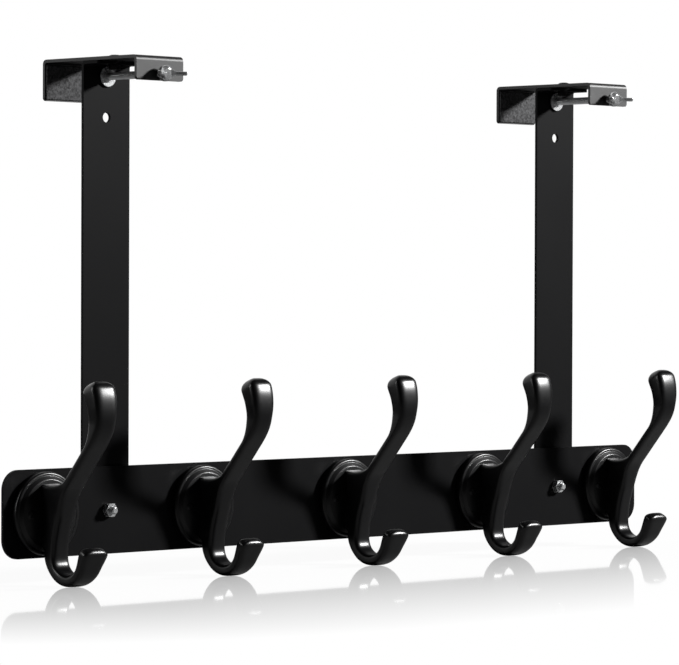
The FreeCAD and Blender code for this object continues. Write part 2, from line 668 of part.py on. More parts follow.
def hook_line():
    """the hook's centre line from the upper tip to the lower tip: (kind, size, turn) per stretch"""
    return [
        ("straight", size("tip_length"), 0.0),
        ("bend", size("crest_radius"), size("crest_degrees")),
        ("straight", size("arm_length"), 0.0),
        ("bend", size("belly_radius"), -size("belly_degrees")),
        ("bend", size("curl_radius"), -size("curl_degrees")),
        ("straight", size("curl_end"), 0.0),
    ]


def stretch_length(kind, amount, turn):
    return amount if kind == "straight" else amount * abs(math.radians(turn))


def hook_stations():
    """where each stretch of the centre line ends, as a distance from the upper tip"""
    ends, total = [], 0.0
    for stretch in hook_line():
        total += stretch_length(*stretch)
        ends.append(total)
    return ends


def walk(distance):
    """height, reach and heading on the centre line, not yet set against the rosette"""
    up, out = 0.0, 0.0
    heading = math.radians(size("belly_degrees") - size("crest_degrees"))
    left = distance
    for kind, amount, turn in hook_line():
        whole = stretch_length(kind, amount, turn)
        part = min(left, whole)
        if kind == "straight":
            up -= part * math.cos(heading)
            out -= part * math.sin(heading)
        else:
            swing = math.copysign(part / amount, turn)
            chord = 2 * amount * math.sin(abs(swing) / 2)
            up -= chord * math.cos(heading + swing / 2)
            out -= chord * math.sin(heading + swing / 2)
            heading += swing
        left -= part
        if left <= 0:
            break
    return up, out, heading


def on_hook(distance):
    """height, reach and heading on the centre line in the hook's own frame"""
    nearest = hook_stations()[3]
    up0, out0, _ = walk(nearest)
    up, out, heading = walk(distance)
    return up - up0 - size("belly_drop"), out - out0 + size("belly_reach"), heading


def between(start, end, share=0.5):
    return start + share * (end - start)


# where the bulb's shoulder lies between bulb and crest, and where the curl's sections lie
SHOULDER = 0.4
CURL_SECTIONS = (0.3, 0.6)


def hook_sections():
    """(distance, width, depth) for each section of the arm, from tip to tip"""
    ends = hook_stations()
    crest = between(ends[0], ends[1])
    tip = "sizes.tip_width", "sizes.tip_depth"
    arm = "sizes.arm_width", "sizes.arm_depth"
    belly = "sizes.belly_width", "sizes.belly_depth"
    curl_tip = "sizes.curl_tip_width", "sizes.curl_tip_depth"
    rows = [
        (0.0, *tip),
        (size("tip_depth") / 2, *tip),
        (between(ends[0], crest, SHOULDER), "sizes.shoulder_width", "sizes.shoulder_depth"),
        (crest, "sizes.arm_width", "sizes.crest_depth"),
        (ends[1], *arm),
        (ends[2], *arm),
        (between(ends[2], ends[3]), *belly),
        (ends[3], *belly),
    ]
    for share in CURL_SECTIONS:
        rows.append((between(ends[3], ends[4], share), "sizes.belly_width", "sizes.curl_depth"))
    rows += [
        (ends[4], "sizes.lip_width", "sizes.lip_depth"),
        (ends[5] - size("curl_tip_depth") / 2, *curl_tip),
        (ends[5], *curl_tip),
    ]
    return rows


def end_edges(shape, distance):
    """names of the edges round the arm's flat end at this distance"""
    up, out, heading = on_hook(distance)
    middle = FreeCAD.Vector(0, up, out)
    along = FreeCAD.Vector(0, math.cos(heading), math.sin(heading))
    names = []
    for k, edge in enumerate(shape.Edges, start=1):
        away = [edge.valueAt(end) - middle for end in edge.ParameterRange]
        if all(near(gap.dot(along), 0) and gap.Length < size("tip_width") for gap in away):
            names.append(f"Edge{k}")
    return names


def section_sketch(body, name, up, out, heading, width, depth, corner):
    """a rounded section square to the centre line"""
    sketch = new_sketch(body, name, "XY_Plane")
    tilt = math.degrees(heading) + 90
    turn = FreeCAD.Rotation(FreeCAD.Vector(1, 0, 0), tilt)
    sketch.AttachmentOffset = FreeCAD.Placement(FreeCAD.Vector(0, up, out), turn)
    draw_rounded_bar(sketch, width, depth, corner)
    return sketch


def loft(body, name, sketches):
    feature = body.newObject("PartDesign::AdditiveLoft", f"{body.Label}_{name}")
    feature.Profile = sketches[0]
    feature.Sections = sketches[1:]
    doc.recompute()
    return feature


def spread_neck(body):
    """web between rosette and arm: its upper edge sweeps up under the arm, its back is in the rosette"""
    ends = hook_stations()
    top = on_hook(ends[2] - size("neck_climb"))
    bend, nearest = on_hook(ends[2]), on_hook(ends[3])
    profile = new_sketch(body, "neck", "YZ_Plane")
    half = "sizes.neck_height / 2"
    corners = [
        (half, "sizes.neck_root"),
        (str(top[0]), str(top[1])),
        (str(bend[0]), str(bend[1])),
        (str(nearest[0]), str(nearest[1])),
        (f"-{half}", "sizes.neck_root"),
    ]
    sweep = {(0, 1): "sizes.neck_sweep", (2, 1): "sizes.belly_radius"}
    draw_outline(profile, corners, sweep)
    pad(body, profile, "sizes.neck_width", midplane=True)
    swept = [f"Edge{k}" for k, edge in enumerate(body.Shape.Edges, start=1)
             if isinstance(edge.Curve, Part.Circle) and near(edge.Curve.Radius, size("neck_sweep"))]
    fillet(body, swept, "sizes.neck_round")


def make_hook(label):
    """cast double hook: rosette, neck and arm in one piece"""
    body = new_body(label)
    spread_neck(body)
    rosette = new_sketch(body, "rosette", "XZ_Plane")
    rim, boss = "sizes.rosette_radius", "sizes.boss_radius"
    draw_outline(rosette, [
        ("0", "0"),
        (rim, "0"),
        (rim, "sizes.rosette_rim - sizes.rim_round"),
        (f"{rim} - sizes.rim_round", "sizes.rosette_rim"),
        (boss, "sizes.rosette_rim"),
        (boss, "sizes.boss_height - sizes.boss_round"),
        (f"{boss} - sizes.boss_round", "sizes.boss_height"),
        ("0", "sizes.crown_height"),
    ], {(2, 1): "sizes.rim_round", (5, 1): "sizes.boss_round"})
    revolve(body, rosette)
    arm = []
    for k, (distance, width, depth) in enumerate(hook_sections()):
        up, out, heading = on_hook(distance)
        arm.append(section_sketch(body, f"section_{k}", up, out, heading, width, depth,
                                  f"sizes.section_corner * {depth}"))
    loft(body, "arm", arm)
    fillet(body, end_edges(body.Shape, 0.0), "sizes.tip_round")
    fillet(body, end_edges(body.Shape, hook_stations()[-1]), "sizes.curl_tip_round")
    bores = new_sketch(body, "screw_holes", "XY_Plane")
    seats = new_sketch(body, "screw_seats", "XY_Plane", "sizes.boss_height - sizes.hook_seat_depth")
    for side in (-1, 1):
        x = f"{side} * sizes.hook_screw_reach"
        draw_circle(bores, x, "0", "sizes.hook_screw_radius + sizes.screw_clearance")
        draw_circle(seats, x, "0", "sizes.hook_head_radius + sizes.screw_clearance")
    pocket(body, bores, back=True)
    pocket(body, seats, back=True)
    return body


def make_hook_screws(label, x):
    """the two low-headed screws that hold a hook on the rail, as one group"""
    seat = "(sizes.boss_height - sizes.hook_seat_depth)"
    end = "-(sizes.rail_thickness + sizes.hook_screw_end)"
    pair = []
    for name, side in SIDES.items():
        screw = make_pin(f"{label}_{name}", [
            ("sizes.hook_screw_radius - sizes.hook_screw_chamfer", end),
            ("sizes.hook_screw_radius", f"{end} + sizes.hook_screw_chamfer"),
            ("sizes.hook_screw_radius", seat),
            ("sizes.hook_head_radius", seat),
            ("sizes.hook_head_radius", f"{seat} + sizes.hook_head_edge"),
            ("sizes.hook_crown_radius", f"{seat} + sizes.hook_head_height"),
        ])
        place(screw, FACE_FRONT, x=f"{x} + {side} * sizes.hook_screw_reach", y=f"-{RAIL_FRONT}",
              z=RAIL_MIDDLE)
        pair.append(screw)
    group = doc.addObject("Part::Compound", label)
    group.Label = label
    group.Links = pair
    return group


def check_and_write(pieces):
    """stops if anything failed, then writes each piece under its own label"""
    doc.recompute()
    for item in doc.Objects:
        if {"Invalid", "Error"} & set(item.State):
            raise RuntimeError(f"{item.Label} failed: {item.State}")
    for piece in pieces:
        if piece.Shape.isNull() or not piece.Shape.isValid():
            raise RuntimeError(f"{piece.Label} has no valid shape")
    os.makedirs("parts", exist_ok=True)
    for piece in pieces:
        piece.Shape.exportStep(f"parts/{piece.Label}.step")
        print(piece.Label, len(piece.Shape.Solids), "solid", round(piece.Shape.Volume, 1), "mm3")


pieces = [make_rail()]
for name, side in SIDES.items():
    pieces += [
        make_strap(name, side),
        make_channel(name, side),
        make_foam_pad(name, side),
        make_pressure_pad(name, side),
        make_wing_screw(name, side),
        *make_tab_fasteners(name, side),
        *make_rail_fasteners(name, side),
    ]
for k, x in enumerate(hook_places(), start=1):
    hook = make_hook(f"hook_{k}")
    place(hook, FACE_FRONT, x=x, y=f"-{RAIL_FRONT}", z=RAIL_MIDDLE)
    pieces += [hook, make_hook_screws(f"hook_{k}_screws", x)]
check_and_write(pieces)
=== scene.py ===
import math

import bmesh
import bpy
import numpy as np
from mathutils import Matrix, Vector


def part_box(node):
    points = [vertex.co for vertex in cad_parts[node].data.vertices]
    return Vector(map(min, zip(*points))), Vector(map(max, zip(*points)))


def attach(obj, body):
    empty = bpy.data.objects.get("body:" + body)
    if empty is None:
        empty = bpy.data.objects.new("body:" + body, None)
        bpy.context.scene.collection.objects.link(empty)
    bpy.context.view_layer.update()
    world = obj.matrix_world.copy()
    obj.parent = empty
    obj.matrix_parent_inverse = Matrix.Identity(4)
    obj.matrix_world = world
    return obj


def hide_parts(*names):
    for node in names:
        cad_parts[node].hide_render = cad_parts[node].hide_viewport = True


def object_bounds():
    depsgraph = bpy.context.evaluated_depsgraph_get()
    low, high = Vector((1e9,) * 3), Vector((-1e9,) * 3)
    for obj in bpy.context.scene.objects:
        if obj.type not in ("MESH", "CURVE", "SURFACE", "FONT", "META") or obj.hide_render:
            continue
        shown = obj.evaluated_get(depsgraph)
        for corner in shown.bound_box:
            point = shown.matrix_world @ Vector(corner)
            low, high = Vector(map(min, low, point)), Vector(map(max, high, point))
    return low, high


bl_info = {
    "name": "Over-door hook rack",
    "version": (1, 0, 0),
    "blender": (4, 5, 0),
    "location": "3D View > Sidebar > Hook rack",
    "description": "Dresses a rail of cast double hooks with its straps and door clamps",
    "category": "Object",
}

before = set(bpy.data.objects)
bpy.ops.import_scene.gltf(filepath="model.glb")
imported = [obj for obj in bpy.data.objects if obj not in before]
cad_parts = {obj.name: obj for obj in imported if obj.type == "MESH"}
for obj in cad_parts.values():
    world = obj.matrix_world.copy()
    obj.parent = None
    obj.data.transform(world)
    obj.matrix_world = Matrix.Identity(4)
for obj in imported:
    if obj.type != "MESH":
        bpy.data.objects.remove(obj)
CAD_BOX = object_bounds()

MM = 0.001
CREASE = math.radians(35)  # edges that bend more than this stay sharp, or get a rounding
SIDES = ("left", "right")
HOOKS = sorted(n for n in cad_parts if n.startswith("hook_") and not n.endswith("_screws"))


def middle(node):
    low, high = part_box(node)
    return (low + high) / 2


# Places read from the frame, whose front is -Y
RAIL_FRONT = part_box("rail")[0].y
RAIL_MIDDLE = middle("rail").z
HOOK_PLACES = [middle(node).x for node in HOOKS]
HOOK_SPACING = HOOK_PLACES[1] - HOOK_PLACES[0]
STRAP_PLACES = [middle(f"strap_{side}").x for side in SIDES]
STRAP_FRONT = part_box("pressure_pad_left")[1].y
CLAMP_HEIGHT = middle("pressure_pad_left").z
FLOOR_HEIGHT = CAD_BOX[0][2]


# Colours and node helpers

def linear(hex_colour):
    """an sRGB hex colour as the linear RGBA that the shaders take"""
    parts = [int(hex_colour[k:k + 2], 16) / 255 for k in (1, 3, 5)]
    return [c / 12.92 if c <= 0.04045 else ((c + 0.055) / 1.055) ** 2.4 for c in parts] + [1.0]


def add_node(tree, kind, inputs=None, **settings):
    """adds a node with its settings, and sets each input to a value or links it to a socket"""
    node = tree.nodes.new(kind)
    for name, value in settings.items():
        setattr(node, name, value)
    for name, value in (inputs or {}).items():
        if isinstance(value, bpy.types.NodeSocket):
            tree.links.new(value, node.inputs[name])
        else:
            node.inputs[name].default_value = value
    return node


def new_material(name):
    """an empty node material with its tree and its output"""
    material = bpy.data.materials.new(name)
    material.use_nodes = True
    material.node_tree.nodes.clear()
    output = add_node(material.node_tree, "ShaderNodeOutputMaterial")
    return material, material.node_tree, output


def maths(tree, operation, first, second=0.0):
    """the outcome of an arithmetic node"""
    return add_node(tree, "ShaderNodeMath", {0: first, 1: second}, operation=operation).outputs[0]


def noise(tree, size, detail):
    """noise on the object, with marks of about this size"""
    place = add_node(tree, "ShaderNodeTexCoord").outputs["Object"]
    return add_node(tree, "ShaderNodeTexNoise", {"Vector": place, "Scale": 1 / size,
                                                 "Detail": detail}).outputs["Fac"]


def bump(tree, height, strength, distance, **under):
    """a normal that follows a height, over another normal where one is given"""
    return add_node(tree, "ShaderNodeBump", {"Height": height, "Strength": strength,
                                             "Distance": distance, **under}).outputs["Normal"]


def spread(tree, value, low, high, start=0.0, end=1.0):
    """a value's range from start to end, spread from low to high"""
    return add_node(tree, "ShaderNodeMapRange", {"Value": value, "From Min": start, "From Max": end,
                                                 "To Min": low, "To Max": high}).outputs["Result"]


def tinted(tree, base, tone):
    """a colour made darker or lighter by a tone"""
    return add_node(tree, "ShaderNodeVectorMath", {0: base[:3], "Scale": tone},
                    operation="SCALE").outputs["Vector"]


# Sizes and colours that a user would change

def length(name, description, millimetres):
    return bpy.props.FloatProperty(name=name, description=description, default=millimetres * MM,
                                   unit="LENGTH", min=0.0, precision=4)


def angle(name, description, degrees):
    return bpy.props.FloatProperty(name=name, description=description, unit="ROTATION",
                                   default=math.radians(degrees), subtype="ANGLE")


def colour(name, description, hex_colour):
    return bpy.props.FloatVectorProperty(name=name, description=description, subtype="COLOR",
                                         default=linear(hex_colour), size=4, min=0.0, max=1.0)


def lamp_power(name, description, watts):
    return bpy.props.FloatProperty(name=name, description=description, default=watts, min=0.0,
                                   unit="POWER")


class HookSizes(bpy.types.PropertyGroup):
    """one cast hook: centre line, sections, neck and rosette"""
    belly_reach: length("Belly reach", "From the rail to the nearest centre line", 12.2)
    belly_drop: length("Belly drop", "From the rosette's centre down to that nearest place", 23.9)
    belly_radius: length("Belly radius", "Back bend of the centre line", 64.9)
    belly_turn: angle("Belly turn", "How far the back bend turns", 40.3)
    arm_length: length("Arm length", "Straight stretch of the upper arm", 28.3)
    crest_radius: length("Crest radius", "Reverse bend of the upper arm", 33.1)
    crest_turn: angle("Crest turn", "How far the reverse bend turns", 60.2)
    tip_length: length("Tip length", "From the reverse bend to the tip's end", 9.1)
    curl_radius: length("Curl radius", "Curl of the lower arm", 15.6)
    curl_turn: angle("Curl turn", "How far the curl turns", 152.7)
    curl_end: length("Curl end", "From the curl to the lower tip's end", 13.7)
    tip_width: length("Tip width", "Upper tip, side to side", 18.6)
    tip_depth: length("Tip depth", "Upper tip, front to back", 13.0)
    crest_depth: length("Crest depth", "Upper arm on its reverse bend, front to back", 10.0)
    arm_width: length("Arm width", "Upper arm, side to side", 15.6)
    arm_depth: length("Arm depth", "Upper arm, front to back", 4.6)
    belly_width: length("Belly width", "Back bend, side to side", 13.8)
    belly_depth: length("Belly depth", "Back bend, front to back", 11.4)
    curl_root_depth: length("Curl root depth", "Where the curl starts, front to back", 9.8)
    curl_depth: length("Curl depth", "Curl, front to back", 7.1)
    curl_tip_width: length("Lower tip width", "Lower tip, side to side", 19.2)
    curl_tip_depth: length("Lower tip depth", "Lower tip, front to back", 7.7)
    shoulder_width: length("Shoulder width", "Between bulb and arm, side to side", 17.7)
    shoulder_depth: length("Shoulder depth", "Between bulb and arm, front to back", 11.4)
    lip_width: length("Lip width", "Below the lower tip, side to side", 16.5)
    lip_depth: length("Lip depth", "Below the lower tip, front to back", 7.3)
    neck_root: length("Neck root", "From the rail to the neck's back, in the rosette", 2.5)
    neck_width: length("Neck width", "Neck between rosette and arm, side to side", 16.0)
    neck_height: length("Neck height", "Neck where it leaves the rosette", 39.0)
    neck_climb: length("Neck climb", "How far the neck runs up the upper arm", 14.0)
    neck_sweep: length("Neck sweep", "Radius of the neck's upper edge", 30.0)
    rosette_radius: length("Rosette radius", "Round base", 25.5)
    rosette_rim: length("Rosette rim", "Rim, off the rail", 5.0)
    boss_radius: length("Boss radius", "Raised middle of the rosette", 22.0)
    boss_height: length("Boss height", "Raised middle, off the rail", 6.6)
    crown_height: length("Crown height", "Rosette's crown, off the rail", 7.6)
    rim_round: length("Rim rounding", "Rounding of the rim", 1.5)
    boss_round: length("Boss rounding", "Rounding of the raised middle", 1.1)
    screw_reach: length("Screw reach", "From the hook's middle to a screw", 14.5)
    screw_head: length("Screw head", "Radius of a hook screw's head", 3.6)


class ClampSizes(bpy.types.PropertyGroup):
    """wing screws, pads and small fasteners"""
    shank_radius: length("Shank radius", "Wing screw's shank", 2.4)
    thread_pitch: length("Thread pitch", "From one thread to the next", 0.8)
    thread_depth: length("Thread depth", "Depth of the thread", 0.34)
    neck_radius: length("Neck radius", "Wing screw's end in the pressure pad", 1.5)
    hub_radius: length("Hub radius", "Wing screw's hub", 4.9)
    hub_length: length("Hub length", "Wing screw's hub along its axis", 6.6)
    wing_span: length("Wing span", "From the axis to the middle of a wing's end", 11.3)
    wing_rise: length("Wing rise", "From the hub's back to the middle of a wing's end", 10.3)
    wing_thickness: length("Wing thickness", "Wing, along the door's height", 2.5)
    wing_width: length("Wing width", "Wing, the other way", 2.7)
    wing_root: length("Wing root", "From the hub's middle to a wing's deepest place", 1.5)
    wing_fairing: length("Wing fairing", "From the hub's middle to a wing's even part", 6.3)
    wing_foot: length("Wing foot", "Half the depth of a wing at its root", 4.7)
    wing_flare: length("Wing flare", "How much wider a wing's root is, each side", 0.9)
    hub_depth: length("Hub depth", "From the wings' front back to the hub's back", 10.4)
    hub_shoulder: length("Hub shoulder", "From the hub's back to where it narrows", 4.6)
    hub_face: length("Hub face", "Radius of the hub's front face", 3.2)
    edge_round: length("Edge rounding", "Rounding left on cut sheet edges", 0.35)
    foam_round: length("Foam rounding", "Rounding left on the foam's edges", 0.3)


class Finishes(bpy.types.PropertyGroup):
    """colours of the finishes"""
    coat: colour("Powder coat", "Rail, straps and channels", "#0E0E0F")
    enamel: colour("Enamel", "Cast hooks", "#060607")
    foam: colour("Foam", "Pads on the back flanges", "#4C4C4D")
    chrome: colour("Chrome", "Wing screws", "#DEDFE0")
    zinc: colour("Zinc", "Nuts, bolts and pressure pads", "#D0D1D2")
    screw: colour("Blackened screw", "Hook and tab screws, tab nuts", "#19191A")


class StageSizes(bpy.types.PropertyGroup):
    """camera and lights"""
    camera_place: bpy.props.FloatVectorProperty(
        name="Camera place", description="Where the camera stands", subtype="TRANSLATION",
        default=(-1.7539, -1.7359, -0.1041))
    camera_yaw: angle("Camera yaw", "Turned to the right of straight back", 45.263)
    camera_pitch: angle("Camera pitch", "Looking down", 0.69)
    camera_roll: angle("Camera roll", "Roll about the line of sight", 0.2)
    camera_lens: bpy.props.FloatProperty(
        name="Lens", description="Focal length on a 36 mm wide sensor", unit="CAMERA",
        default=199.3)
    key_power: lamp_power("Key light", "Watts of the key light", 160.0)
    top_power: lamp_power("Top light", "Watts of the overhead light", 2.5)
    rim_power: lamp_power("Rim light", "Watts of the light on the left", 9.0)


# Materials

def principled(name, inputs_of):
    """the material of this name, made once, from the inputs that a function builds in its tree"""
    if name in bpy.data.materials:
        return bpy.data.materials[name]
    material, tree, output = new_material(name)
    shader = add_node(tree, "ShaderNodeBsdfPrincipled", inputs_of(tree))
    tree.links.new(shader.outputs["BSDF"], output.inputs["Surface"])
    return material


def powder_coat(name="black_powder_coat", shine=0.05, smooth=0.38):
    """Black polyester powder coat on steel sheet: sprayed and baked, so it has a low orange peel
    and fine grit, which break a soft, wide sheen into a faint grain."""
    def inputs(tree):
        peel, grit = noise(tree, 1.6 * MM, 2.0), noise(tree, 0.5 * MM, 3.0)
        tone = spread(tree, grit, 0.8, 1.25, 0.3, 0.7)
        low = bump(tree, peel, 0.35, 0.03 * MM)
        return {
            "Base Color": tinted(tree, bpy.context.scene.rack_finishes.coat, tone),
            "Roughness": spread(tree, noise(tree, 60 * MM, 4.0), smooth, smooth + 0.1),
            "Normal": bump(tree, grit, 0.55, 0.02 * MM, Normal=low),
            "Specular IOR Level": shine,
        }
    return principled(name, inputs)


def channel_coat():
    """Black semi-gloss powder coat on the clamps' channels: thicker, shinier than the straps'."""
    return powder_coat("black_semi_gloss_coat", shine=0.46, smooth=0.4)


def gloss_enamel():
    """Black stoved enamel on a zinc casting: dipped and baked, so it flows into a smooth gloss over
    the casting's slow waves, and its highlights are soft at the edge."""
    def inputs(tree):
        waves, flow = noise(tree, 7 * MM, 1.0), noise(tree, 1.2 * MM, 2.0)
        slow = bump(tree, waves, 0.2, 0.05 * MM)
        return {
            "Base Color": tinted(tree, bpy.context.scene.rack_finishes.enamel,
                                 spread(tree, waves, 0.85, 1.15)),
            "Roughness": spread(tree, flow, 0.27, 0.33),
            "Normal": bump(tree, flow, 0.2, 0.01 * MM, Normal=slow),
            "Specular IOR Level": 0.32,
        }
    return principled("gloss_black_enamel", inputs)


def cell_foam():
    """Grey closed-cell EVA foam: sliced from a block, so its face shows cut cells about 0.9 mm
    wide, with no shine."""
    def inputs(tree):
        place = add_node(tree, "ShaderNodeTexCoord").outputs["Object"]
        cells = add_node(tree, "ShaderNodeTexVoronoi", {"Vector": place, "Scale": 1 / (0.9 * MM)})
        tone = spread(tree, noise(tree, 1.4 * MM, 3.0), 0.4, 1.7, 0.3, 0.7)
        return {
            "Base Color": tinted(tree, bpy.context.scene.rack_finishes.foam, tone),
            "Roughness": 0.9,
            "Normal": bump(tree, cells.outputs["Distance"], 0.8, 0.15 * MM),
            "Specular IOR Level": 0.2,
        }
    return principled("grey_cell_foam", inputs)


def plated(name, base, low, high, scratch, bare):
    """a bright plated metal, its roughness broken by fine marks of the given width, milky where its
    bare share is under 1"""
    def inputs(tree):
        marks = noise(tree, scratch, 3.0)
        return {
            "Base Color": base,
            "Metallic": bare,
            "Roughness": spread(tree, marks, low, high),
            "Normal": bump(tree, marks, 0.2, 0.02 * MM),
        }
    return principled(name, inputs)


def bright_chrome():
    """Chrome plate on turned and cast parts: tumbled, then plated, so it mirrors its surroundings
    with barely any blur."""
    return plated("bright_chrome", bpy.context.scene.rack_finishes.chrome, low=0.08, high=0.2,
                  scratch=1.1 * MM, bare=0.8)


def bright_zinc():
    """Zinc plate on cold-formed fasteners: brighter than steel, a little milky, a soft mirror."""
    return plated("bright_zinc", bpy.context.scene.rack_finishes.zinc, low=0.16, high=0.36,
                  scratch=0.7 * MM, bare=0.76)


def blackened_screw():
    """Black phosphated steel: dipped, so it is dark, slightly oily and half glossy."""
    def inputs(tree):
        return {
            "Base Color": bpy.context.scene.rack_finishes.screw,
            "Metallic": 0.6,
            "Roughness": spread(tree, noise(tree, 1.5 * MM, 2.0), 0.25, 0.45),
        }
    return principled("blackened_screw", inputs)


# Mesh helpers

def new_piece(name, mesh, material):
    """an object at the origin, with its place in its mesh"""
    piece = bpy.data.objects.new(name, mesh)
    bpy.context.scene.collection.objects.link(piece)
    mesh.materials.clear()
    mesh.materials.append(material)
    return piece


def finish_mesh(mesh, crease=CREASE):
    """smooth shading that keeps real creases"""
    mesh.polygons.foreach_set("use_smooth", [True] * len(mesh.polygons))
    mesh.set_sharp_from_angle(angle=crease)
    mesh.update()
    return mesh


def baked(piece):
    """a mesh of the piece as its modifiers leave it"""
    bpy.context.view_layer.update()
    return bpy.data.meshes.new_from_object(
        piece.evaluated_get(bpy.context.evaluated_depsgraph_get()))


def merge_meshes(name, meshes):
    """one mesh from several, its normals turned outwards"""
    joined = bmesh.new()
    for mesh in meshes:
        joined.from_mesh(mesh)
        bpy.data.meshes.remove(mesh)
    bmesh.ops.recalc_face_normals(joined, faces=joined.faces)
    result = bpy.data.meshes.new(name)
    joined.to_mesh(result)
    joined.free()
    return result


def ring_mesh(name, rings):
    """a closed skin through rings of as many points each, its two ends closed by fans"""
    count = len(rings[0])
    points = [tuple(p) for ring in rings for p in ring]
    faces = [(row + j, row + (j + 1) % count, row + count + (j + 1) % count, row + count + j)
             for row in range(0, len(points) - count, count) for j in range(count)]
    for ring, base in ((rings[0], 0), (rings[-1], (len(rings) - 1) * count)):
        hub = len(points)
        points.append(tuple(np.mean(ring, axis=0)))
        faces += [(base + j, base + (j + 1) % count, hub) for j in range(count)]
    mesh = bpy.data.meshes.new(name)
    mesh.from_pydata(points, [], faces)
    return merge_meshes(name, [mesh])


def turned_mesh(name, profile, segments):
    """a turned solid about +Z from (radius, height) points"""
    turns = np.linspace(0, 2 * math.pi, segments, endpoint=False)
    rings = [[(r * math.cos(t), r * math.sin(t), z) for t in turns] for r, z in profile]
    return ring_mesh(name, rings)


def rounded(corners, radii, steps=6):
    """an open run of corner points, each rounded by its radius with an arc of a few steps"""
    points = [Vector(corners[0])]
    for before, here, after, radius in zip(corners, corners[1:], corners[2:], radii):
        here = Vector(here)
        u, v = (Vector(before) - here).normalized(), (Vector(after) - here).normalized()
        if radius <= 0:
            points.append(here)
            continue
        half = u.angle(v) / 2
        start = here + u * radius / math.tan(half)
        centre = here + (u + v).normalized() * radius / math.sin(half)
        end = here + v * radius / math.tan(half)
        a, b = start - centre, end - centre
        for k in range(steps + 1):
            points.append(centre + radius * a.slerp(b, k / steps))
    points.append(Vector(corners[-1]))
    return [tuple(p) for p in points]


FACE_FRONT = Matrix.Rotation(math.radians(90), 4, "X")  # +Z of a turned piece then points forwards


def softened(node, name, edge, material):
    """a copy of a frame node whose sharp edges get a small rounding"""
    weld, flat = 0.002 * MM, math.radians(0.3)
    shape = bmesh.new()
    shape.from_mesh(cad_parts[node].data)
    bmesh.ops.remove_doubles(shape, verts=shape.verts, dist=weld)
    bmesh.ops.dissolve_limit(shape, angle_limit=flat, verts=shape.verts, edges=shape.edges)
    mesh = bpy.data.meshes.new(name)
    shape.to_mesh(mesh)
    shape.free()
    for layer in [a for a in mesh.attributes if a.name == "custom_normal"]:
        mesh.attributes.remove(layer)
    piece = new_piece(name, mesh, material)
    bevel = piece.modifiers.new("edge", "BEVEL")
    bevel.width = edge
    bevel.segments = 3
    bevel.limit_method = "ANGLE"
    bevel.angle_limit = CREASE
    bevel.use_clamp_overlap = True
    bevel.harden_normals = True
    piece.data = baked(piece)
    piece.modifiers.clear()
    bpy.data.meshes.remove(mesh)
    piece.data.name = name
    return piece


# Repeated fasteners

def row_tree():
    """geometry nodes that set copies of a piece in groups along a row"""
    name = "fastener_row"
    if name in bpy.data.node_groups:
        return bpy.data.node_groups[name]
    tree = bpy.data.node_groups.new(name, "GeometryNodeTree")
    tree.interface.new_socket(name="Geometry", in_out="OUTPUT", socket_type="NodeSocketGeometry")
    for label, kind in (("Piece", "Object"), ("Material", "Material"), ("Start", "Vector"),
                        ("Row count", "Int"), ("Row spacing", "Float"), ("Group count", "Int"),
                        ("Group spacing", "Float")):
        tree.interface.new_socket(name=label, in_out="INPUT", socket_type=f"NodeSocket{kind}")
    given = add_node(tree, "NodeGroupInput").outputs
    group_step = add_node(tree, "ShaderNodeCombineXYZ", {"X": given["Group spacing"]})
    row_step = add_node(tree, "ShaderNodeCombineXYZ", {"X": given["Row spacing"]})
    group = add_node(tree, "GeometryNodeMeshLine", {"Count": given["Group count"],
                                                    "Offset": group_step.outputs["Vector"]})
    row = add_node(tree, "GeometryNodeMeshLine", {"Count": given["Row count"],
                                                  "Start Location": given["Start"],
                                                  "Offset": row_step.outputs["Vector"]})
    piece = add_node(tree, "GeometryNodeObjectInfo", {"Object": given["Piece"]},
                     transform_space="ORIGINAL")
    pairs = add_node(tree, "GeometryNodeInstanceOnPoints", {"Points": group.outputs["Mesh"],
                                                            "Instance": piece.outputs["Geometry"]})
    rows = add_node(tree, "GeometryNodeInstanceOnPoints", {"Points": row.outputs["Mesh"],
                                                           "Instance": pairs.outputs["Instances"]})
    real = add_node(tree, "GeometryNodeRealizeInstances", {"Geometry": rows.outputs["Instances"]})
    dressed = add_node(tree, "GeometryNodeSetMaterial", {"Geometry": real.outputs["Geometry"],
                                                         "Material": given["Material"]})
    add_node(tree, "NodeGroupOutput", {"Geometry": dressed.outputs["Geometry"]})
    return tree


def set_in_row(name, mesh, material, start, row, group):
    """a plain mesh piece with copies of a mesh: row and group are (count, spacing)"""
    tree = row_tree()
    model = new_piece(f"{name}_model", mesh, material)
    holder = bpy.data.objects.new(name, bpy.data.meshes.new(f"{name}_holder"))
    bpy.context.scene.collection.objects.link(holder)
    modifier = holder.modifiers.new("row", "NODES")
    modifier.node_group = tree
    values = {"Piece": model, "Material": material, "Start": start, "Row count": row[0],
              "Row spacing": row[1], "Group count": group[0], "Group spacing": group[1]}
    for item in tree.interface.items_tree:
        if item.in_out == "INPUT":
            modifier[item.identifier] = values[item.name]
    real = baked(holder)
    bpy.data.objects.remove(holder)
    bpy.data.objects.remove(model)
    real.name = name
    return new_piece(name, finish_mesh(real), material)


# Hook: centre line, sections and rosette

def hook_stretches(sizes):
    """the centre line from the upper tip to the lower tip: (radius or None, length, turn)"""
    return [
        (None, sizes.tip_length, 0.0),
        (sizes.crest_radius, sizes.crest_radius * sizes.crest_turn, sizes.crest_turn),
        (None, sizes.arm_length, 0.0),
        (sizes.belly_radius, sizes.belly_radius * sizes.belly_turn, -sizes.belly_turn),
        (sizes.curl_radius, sizes.curl_radius * sizes.curl_turn, -sizes.curl_turn),
        (None, sizes.curl_end, 0.0),
    ]


